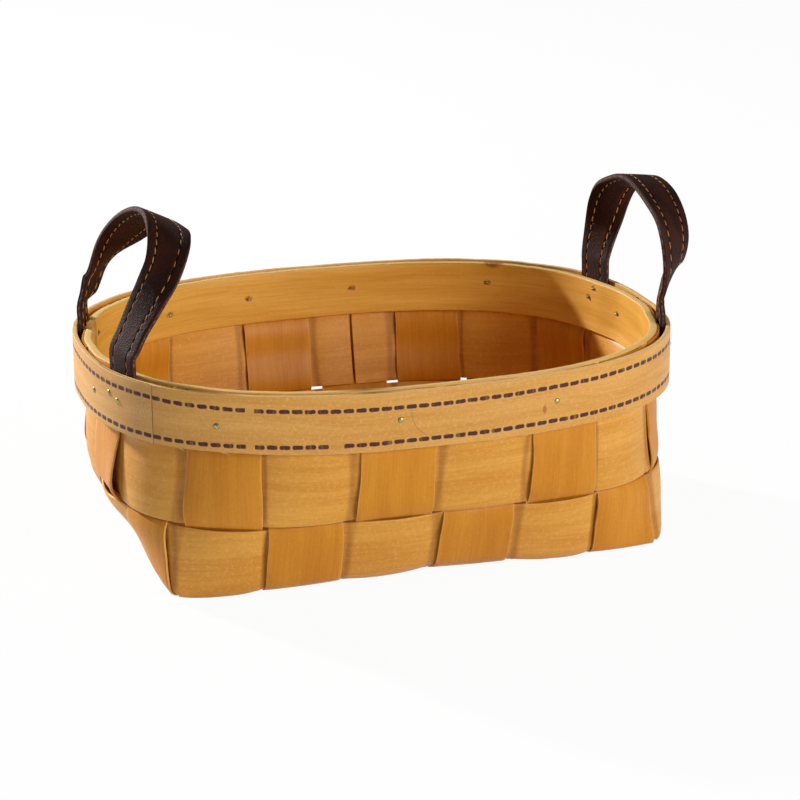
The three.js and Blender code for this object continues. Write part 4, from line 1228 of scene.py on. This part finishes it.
colour = finish.mix(dents * 0.75, colour, linear(110, 62, 26))
knot = spot(across, along, (KNOT, 22.15), (5.4, 3.6))
ragged = finish.noise(finish.vector(along * 0.7, across * 0.9, 6.0), 1.0, 3.0, 0.6)
colour = finish.mix(knot * ragged.ramp(0.2, 0.5) * 0.85, colour, linear(150, 84, 30))
height = height + cut * shreds * 2.0 - dents * 3.0
finish.set(
    Base_Color=colour,
    Roughness=fibres.ramp(0.2, 0.8) * 0.1 + 0.38 + cut * 0.3,
    Normal=finish.bump(height, 0.0001, 0.6),
    Specular_IOR_Level=VARNISH_GLOSS,
)
inner_hoop = finished("inner_hoop_wood", inner_mesh, finish)
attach(inner_hoop, "basket")
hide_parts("inner_hoop")
print("inner hoop done")

# %% [markdown]
# ## The nails
# Small brass-plated nails go through both hoops. Outside, each shows a low domed head.
# Inside, its point was bent over and hammered into the wood. A sphere pressed flat makes
# the head, and a cone lying on the wood makes the bent point. The shank between them is
# hidden in the wood, so it is left out here.

# %% Nails
HEAD_RADIUS, HEAD_RISE = 1.15, 0.5
POINT_LENGTH, POINT_BASE, POINT_TIP = 1.8, 0.42, 0.2
brass = Finish("tarnished_brass")
x, y, z = brass.split(brass.node("ShaderNodeTexCoord", {}, {}, 3))
stain = brass.noise(brass.vector(x * 1400.0, y * 1400.0, z * 1400.0), 1.0, 3.0, 0.6)
brass.set(
    Base_Color=brass.mix(stain.ramp(0.3, 0.7), linear(206, 196, 140), linear(128, 122, 78)),
    Metallic=0.9,
    Roughness=stain.ramp(0.2, 0.8) * 0.25 + 0.28,
    Normal=brass.bump(stain, 0.00004, 0.5),
)
rng = np.random.default_rng(14)
for number, nail in enumerate(nails, 1):
    out = Vector((*nail["normal"], 0))
    bm = bmesh.new()
    facing = out.to_track_quat("Z", "Y").to_matrix().to_4x4()
    seat = Matrix.Translation(Vector(nail["head"]) * MM + out * 0.02 * MM)
    dome = Matrix.Diagonal((HEAD_RADIUS * MM, HEAD_RADIUS * MM, HEAD_RISE * MM, 1))
    bmesh.ops.create_uvsphere(
        bm, u_segments=16, v_segments=10, radius=1.0, matrix=seat @ facing @ dome)
    bmesh.ops.bisect_plane(
        bm, geom=[*bm.verts, *bm.edges, *bm.faces], plane_no=out, clear_inner=True,
        plane_co=Vector(nail["head"]) * MM - out * 0.15 * MM)
    bmesh.ops.holes_fill(bm, edges=[edge for edge in bm.edges if edge.is_boundary], sides=0)
    side = Vector((-nail["normal"][1], nail["normal"][0], 0))
    way = side * rng.choice([-1, 1]) + Vector((0, 0, rng.uniform(-0.9, 0.3))) + out * 0.12
    way.normalize()
    start = Vector(nail["tail"]) * MM - out * 0.3 * MM
    lying = way.to_track_quat("Z", "Y").to_matrix().to_4x4()
    bmesh.ops.create_cone(
        bm, cap_ends=True, segments=10, radius1=POINT_BASE * MM, radius2=POINT_TIP * MM,
        depth=POINT_LENGTH * MM, matrix=Matrix.Translation(start + way * 0.75 * MM) @ lying)
    bmesh.ops.create_uvsphere(
        bm, u_segments=10, v_segments=6, radius=0.44 * MM, matrix=Matrix.Translation(start))
    bmesh.ops.recalc_face_normals(bm, faces=bm.faces)
    mesh = bpy.data.meshes.new(f"nail_{number}_brass")
    bm.to_mesh(mesh)
    bm.free()
    obj = finished(f"nail_{number}_brass", mesh, brass, 60)
    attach(obj, "basket")
    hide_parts(f"nail_{number}")
print("nails", len(nails), "with", len(mesh.polygons), "faces each")

# %% [markdown]
# ## The leather straps
# Each handle is one strap of dark leather. Its feet sit flat in the slot behind the outer
# hoop and follow the hoop's curve. From there the strap rises, turns a quarter and arches
# over, so that its broad side looks outwards on the way round. The middle line is a curve
# through a few points; the section is then swept along it by hand, because the turning
# has to be set row by row.

# %% Curve through points
def smooth_curve(knots, count=40):
    """A centripetal Catmull-Rom curve: no loops or overshoot between uneven points."""
    knots = np.array([2 * knots[0] - knots[1], *knots, 2 * knots[-1] - knots[-2]])
    pieces = []
    for a, b, c, d in zip(knots, knots[1:], knots[2:], knots[3:]):
        gaps = [math.sqrt(np.linalg.norm(q - p)) for p, q in ((a, b), (b, c), (c, d))]
        leave = ((b - a) / gaps[0] - (c - a) / (gaps[0] + gaps[1]) + (c - b) / gaps[1]) * gaps[1]
        arrive = ((c - b) / gaps[1] - (d - b) / (gaps[1] + gaps[2]) + (d - c) / gaps[2]) * gaps[1]
        t = np.linspace(0, 1, count, endpoint=False)[:, None]
        pieces.append((2 * t ** 3 - 3 * t ** 2 + 1) * b + (t ** 3 - 2 * t ** 2 + t) * leave
                      + (3 * t ** 2 - 2 * t ** 3) * c + (t ** 3 - t ** 2) * arrive)
    return np.concatenate([*pieces, knots[-2:-1]])


def even(line, step):
    length = np.r_[0, np.cumsum(np.linalg.norm(np.diff(line, axis=0), axis=-1))]
    places = np.linspace(0, length[-1], round(length[-1] / step) + 1)
    return np.stack([np.interp(places, length, line[:, k]) for k in range(3)], -1), places


def unit(vectors):
    return vectors / np.linalg.norm(vectors, axis=-1, keepdims=True)


# %% Middle line and faces of a strap
HINGE = 87.15
HUG = 0.45
ROW_STEP = 1.25


def strap_frame(handle):
    """Rows along a strap, and for each row the way its broad side looks and its width."""
    end = handle["end"]
    feet = [foot_distance(FOOT, end, handle[foot]) for foot in ("front", "rear")]
    spots, normals = ring(FOOT, np.array(feet))
    chord = spots[1] - spots[0]
    half = np.linalg.norm(chord) / 2
    chord = chord / (2 * half)
    origin = np.array([*(spots[0] + spots[1]) / 2, HINGE])
    along = np.array([*chord, 0])
    out = np.array([chord[1], -chord[0], 0]) * end
    lean = math.radians(handle["lean"])
    up = np.array([0, 0, math.cos(lean)]) + out * math.sin(lean)
    face = out * math.cos(lean) - np.array([0, 0, math.sin(lean)])
    footing = HINGE - HEIGHT

    def place(share, rise):
        return origin + along * share * half + up * rise

    def low(index, z):
        return np.array([*(spots[index] + normals[index] * HUG), z])

    knots = [low(0, 62), low(0, 71), low(0, 80), place(-1, 0), place(-1, 4.5)]
    knots += [place(share, rise * handle["rise"] - footing) for share, rise in handle["loop"]]
    knots += [place(1, 4.5), place(1, 0), low(1, 80), low(1, 71), low(1, 62)]
    line, places = even(smooth_curve(knots), ROW_STEP)
    tangent = unit(np.gradient(line, axis=0))
    heart = place(0, (handle["rise"] - footing) / 2)
    radial = line - heart
    radial = radial - face * (radial @ face)[:, None]
    last = places[-1]
    first = smooth(places, *handle["turns"][0])
    second = smooth(last - places, *handle["turns"][1])
    share = np.minimum(first, second)[:, None]
    in_front = (places < last / 2)[:, None]
    foot_way = np.where(in_front, np.array([*normals[0], 0]), np.array([*normals[1], 0]))
    looks = foot_way * (1 - share) + unit(radial) * share
    looks = unit(looks - tangent * np.sum(looks * tangent, -1, keepdims=True))
    return {"line": line, "places": places, "looks": looks,
            "wide": np.cross(tangent, looks), "feet": feet}


frames = {name: strap_frame(handle) for name, handle in HANDLES.items()}
print("strap lengths", {name: round(f["places"][-1]) for name, f in frames.items()}, "mm")

# %% [markdown]
# The section has a soft edge, and a shallow groove under each row of stitches. In the
# slot, the strap is bent to the hoop's curve. Above it, it is straight across.

# %% Strap section
FREED = (80.5, 90.0)     # between these heights the strap leaves the hoop's curve
# Each place of the section is: across, outwards, and the way round for the pattern.
HALF_WIDTH, HALF_THICK, SOFT = 7.8, 1.0, 0.45
FLAT_HALF = HALF_WIDTH - SOFT
STITCH_LINE = 4.35
GROOVE_DEPTH, CROWN = 0.16, 0.1
widths = [-7.35, -6.6, -5.8, -5.2, -4.8, -4.5, -4.35, -4.2, -3.9, -3.5, -2.6, -1.3, 0]
widths = np.array(widths + [-w for w in reversed(widths[:-1])])
groove = GROOVE_DEPTH * np.exp(-((np.abs(widths) - STITCH_LINE) / 0.35) ** 2)
crown = CROWN * (1 - (widths / HALF_WIDTH) ** 2)
turned = SOFT * (1 - math.sqrt(0.5))
corner = FLAT_HALF + SOFT * math.sqrt(0.5)
edge = [(corner, 1 - turned, 7.65), (HALF_WIDTH, 0.55, 7.9), (HALF_WIDTH, 0.0, 8.45),
        (HALF_WIDTH, -0.55, 9.0), (corner, turned - 1, 9.25), (FLAT_HALF, -1.0, 9.5)]
section = [(w, 1 - g + c, w) for w, g, c in zip(widths, groove, crown)]
section += edge
section += [(w, -(1 - g - c * 0.5), w) for w, g, c in zip(widths[::-1], groove, crown)]
section += [(-w, -t, -u) for w, t, u in edge]
section = np.array(section)
middle = len(widths) + len(edge)
section[0, :2] = section[-1, :2] = (-FLAT_HALF, HALF_THICK)
section[len(widths) - 1, :2] = (FLAT_HALF, HALF_THICK)
section[middle, :2] = section[middle - 1, :2] = (FLAT_HALF, -HALF_THICK)
section[middle + len(widths) - 1, :2] = (-FLAT_HALF, -HALF_THICK)
print("section with", len(section), "places")


def strap_points(frame, sideways, outwards):
    """Points at a place across and outwards (each one number a column) for every row."""
    line, looks, wide = (frame[key][:, None] for key in ("line", "looks", "wide"))
    straight = line + wide * sideways[None, :, None] + looks * outwards[None, :, None]
    rows = frame["places"]
    points = straight.copy()
    for index, sign in ((0, 1), (1, -1)):
        near = rows < rows[-1] / 2 if index == 0 else rows >= rows[-1] / 2
        around = frame["feet"][index] + sign * sideways
        spots, normals = ring(FOOT, around)
        flat = spots + normals * (HUG + outwards[:, None])
        z = frame["line"][near, 2]
        bent = np.zeros((near.sum(), len(flat), 3))
        bent[..., :2] = flat
        bent[..., 2] = z[:, None]
        mix = smooth(z, *FREED)[:, None, None]
        points[near] = bent * (1 - mix) + straight[near] * mix
    return points


# %% [markdown]
# Leather is grainy: a fine pattern of pebbles with creases between them, larger soft
# patches where it was handled, and bare, paler cut edges. The pebble tops and fine flecks
# are painted lighter as painted highlights. The stitches sit in the groove, which is
# painted darker as shade, and the leather between two stitches shows the needle hole as a
# dark spot of painted shade.

# %% Leather finish
STITCH_PITCH = 4.0
PEBBLES = 1.35     # to the millimetre


def leather(name, seed):
    finish = Finish(name)
    across, along = finish.surface()
    pebble_x, pebble_y = across * PEBBLES, along * PEBBLES
    place = finish.vector(pebble_x, pebble_y, seed)
    warp = finish.noise(place, 0.8, 2.0) * 0.7
    warped = finish.vector(pebble_x + warp, pebble_y + warp, seed)
    settings, values = {"feature": "F1"}, {"Vector": warped, "Scale": 1.0}
    cells = finish.node("ShaderNodeTexVoronoi", settings, values)
    fine = finish.noise(place, 4.0, 3.0, 0.7)
    patches = finish.noise(finish.vector(across * 0.09, along * 0.05, seed), 1.0, 3.0, 0.6)
    colour = finish.mix(patches.ramp(0.35, 0.68), linear(38, 15, 9), linear(62, 27, 15))
    # Painted highlight: the pebble tops and fine flecks are painted lighter.
    colour = finish.mix((1 - cells.ramp(0.0, 0.5)) * 0.3, colour, linear(70, 38, 28))
    colour = finish.mix(fine.ramp(0.58, 0.72) * 0.16, colour, linear(104, 70, 58))
    lane = (across.absolute() - STITCH_LINE).absolute()
    groove = (1 - lane.ramp(0.25, 0.8)) * (1 - across.absolute().ramp(7.3, 7.4))
    # Painted shade: the stitch groove and the needle holes are painted darker.
    colour = finish.mix(groove * 0.6, colour, linear(26, 12, 10))
    beat = ((along / STITCH_PITCH).fraction() - 0.5).absolute() * STITCH_PITCH
    hole = (lane * lane + (beat - 2.0) * (beat - 2.0)).root()
    holes = (1 - hole.ramp(0.3, 0.6)) * groove
    colour = finish.mix(holes, colour, linear(10, 5, 5))
    bare = across.absolute().ramp(7.7, 7.95)
    core = 1 - (across.absolute() - 8.45).absolute().ramp(0.12, 0.4)
    dust = finish.noise(finish.vector(across * 0.6, along * 0.6, seed), 1.0, 3.0, 0.7)
    colour = finish.mix(bare * 0.4, colour, linear(84, 58, 50))
    colour = finish.mix(core * dust.ramp(0.42, 0.64) * 0.6, colour, linear(150, 120, 108))
    height = 1 - cells.ramp(0.05, 0.6) + fine * 0.4 - groove * 0.4 - holes * 2.0
    finish.set(
        Base_Color=colour,
        Roughness=fine.ramp(0.2, 0.8) * 0.14 + patches * 0.12 + 0.5 + bare * 0.2,
        Normal=finish.bump(height, 0.00012, 0.7),
        Specular_IOR_Level=0.14,
    )
    return finish


# %% Make the straps
straps = {}
for index, (name, frame_) in enumerate(frames.items()):
    width_change = 1 + wobble(60 + index, frame_["places"], 60, 0.012)
    points = strap_points(frame_, section[:, 0], section[:, 1])
    centre = points.mean(axis=1, keepdims=True)
    points = centre + (points - centre) * width_change[:, None, None]
    across = np.broadcast_to(section[:, 2], points.shape[:2])
    along = np.broadcast_to(frame_["places"][:, None], points.shape[:2])
    mesh = bar_mesh(f"{name}_strap_leather", points, across, along)
    finish = leather(f"{name}_strap_finish", 3.0 + 11 * index)
    straps[name] = finished(f"{name}_strap_leather", mesh, finish, 40)
    print(name, "strap", len(mesh.polygons), "faces")

# %% [markdown]
# Tan thread is sewn along both edges and shows on both faces. Each stitch is a small
# stretched sphere, laid a little aslant in its groove.

# %% Stitches
THREAD_HALF, STITCH_HALF = 0.28, 1.4
STITCHED_ABOVE = 79.0     # lower down, the stitches are hidden in the slot
thread = Finish("tan_thread")
x, y, z = thread.split(thread.node("ShaderNodeTexCoord", {}, {}, 3))
twist = thread.noise(thread.vector(x * 2600.0, y * 2600.0, z * 2600.0), 1.0, 2.0)
thread.set(
    Base_Color=thread.mix(twist.ramp(0.3, 0.7), linear(204, 138, 68), linear(146, 88, 40)),
    Roughness=0.7,
    Normal=thread.bump(twist, 0.00005, 0.6),
)
for index, (name, frame_) in enumerate(frames.items()):
    rng = np.random.default_rng(70 + index)
    bm = bmesh.new()
    count = int(frame_["places"][-1] / STITCH_PITCH)
    for face in (1, -1):
        for row in (-STITCH_LINE, STITCH_LINE):
            outwards = np.array([face * (HALF_THICK - 0.1)])
            path = strap_points(frame_, np.array([row]), outwards)[:, 0]
            for number in range(count):
                at = (number + 0.5) * STITCH_PITCH
                ends = []
                for move in (-STITCH_HALF, STITCH_HALF):
                    spread = [np.interp(at + move, frame_["places"], path[:, k]) for k in range(3)]
                    ends.append(np.array(spread))
                if max(ends[0][2], ends[1][2]) < STITCHED_ABOVE:
                    continue
                where = int(round(at / ROW_STEP))
                looks = frame_["looks"][min(where, len(path) - 1)] * face
                way = unit(ends[1] - ends[0])
                aside = np.cross(looks, way)
                slant = rng.normal(0.1, 0.05)
                way = unit(way + aside * slant)
                looks = unit(looks - way * (looks @ way))
                aside = np.cross(looks, way)
                centre = (ends[0] + ends[1]) / 2
                turn = Matrix((aside, way, looks)).transposed().to_4x4()
                length = rng.uniform(1.45, 1.65)
                size = Matrix.Diagonal((THREAD_HALF * MM, length * MM, THREAD_HALF * MM, 1))
                matrix = Matrix.Translation(Vector(centre) * MM) @ turn @ size
                bmesh.ops.create_uvsphere(bm, u_segments=6, v_segments=6, radius=1.0, matrix=matrix)
    mesh = bpy.data.meshes.new(f"{name}_strap_stitches")
    bm.to_mesh(mesh)
    bm.free()
    stitches = finished(f"{name}_strap_stitches", mesh, thread, 80)
    for piece in (straps[name], stitches):
        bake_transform(piece)
    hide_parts(f"{name}_handle_loop", f"{name}_handle_front_foot",
                f"{name}_handle_rear_foot")
    print(name, "stitches", len(mesh.polygons), "faces")

# %% [markdown]
# ## Light and floor
# A white table in a studio: a little light from all round, a small strong lamp behind on
# the left, which lights the inside and draws the highlights on the rim, and a large soft
# one in front on the right. The floor shows nearly plain white to the camera and in
# reflections, and its own grey share keeps a faint shadow.

# %% Floor and world
TABLE_SEEN = 0.95     # the share of the table that shows plain white
ALL_ROUND = 0.15


def make_floor():
    bm = bmesh.new()
    bmesh.ops.create_grid(bm, x_segments=1, y_segments=1, size=4)
    mesh = bpy.data.meshes.new("floor")
    bm.to_mesh(mesh)
    bm.free()
    floor = link(bpy.data.objects.new("floor", mesh))
    finish = Finish("white_table")
    tree = finish.tree
    finish.set(Base_Color=(0.9, 0.9, 0.9, 1), Roughness=0.9, Specular_IOR_Level=0.0)
    glow = tree.nodes.new("ShaderNodeEmission")
    glow.inputs[0].default_value = (1, 1, 1, 1)
    path = tree.nodes.new("ShaderNodeLightPath")
    seen = Value(tree, path.outputs["Is Camera Ray"])
    share = seen.most(Value(tree, path.outputs["Is Glossy Ray"])) * TABLE_SEEN
    mix = tree.nodes.new("ShaderNodeMixShader")
    tree.links.new(share.socket, mix.inputs[0])
    tree.links.new(finish.shader.outputs[0], mix.inputs[1])
    tree.links.new(glow.outputs[0], mix.inputs[2])
    tree.links.new(mix.outputs[0], tree.nodes["Material Output"].inputs[0])
    mesh.materials.append(finish.material)
    floor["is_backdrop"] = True


def make_world(strength):
    world = bpy.data.worlds.new("studio")
    world.use_nodes = True
    bpy.context.scene.world = world
    tree = world.node_tree
    background = tree.nodes["Background"]
    background.inputs[0].default_value = (1, 1, 1, 1)
    path = tree.nodes.new("ShaderNodeLightPath")
    seen = Value(tree, path.outputs["Is Camera Ray"])
    level = seen * (1 - strength) + strength
    tree.links.new(level.socket, background.inputs[1])


def lamp(name, place, aim, size, power):
    data = bpy.data.lights.new(name, "AREA")
    data.shape = "RECTANGLE"
    data.size, data.size_y = size
    data.energy = power
    obj = link(bpy.data.objects.new(name, data))
    obj.location = place
    obj.rotation_euler = (Vector(aim) - Vector(place)).to_track_quat("-Z", "Y").to_euler()


make_floor()
make_world(ALL_ROUND)
lamp("key_left", place=(-0.79, 1.14, 0.62), aim=(0, 0, 0.06), size=(0.1, 0.1), power=33.0)
lamp("fill_right", place=(0.7, -1.12, 0.5), aim=(0, 0, 0.05), size=(0.8, 0.5), power=13.5)
bpy.context.scene.view_settings.view_transform = "Standard"
print("floor, world and two lamps")

# %% Sizes and finish
size = {"cad_box": [list(corner) for corner in cad_box], "visual_box": [list(corner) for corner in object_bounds()]}
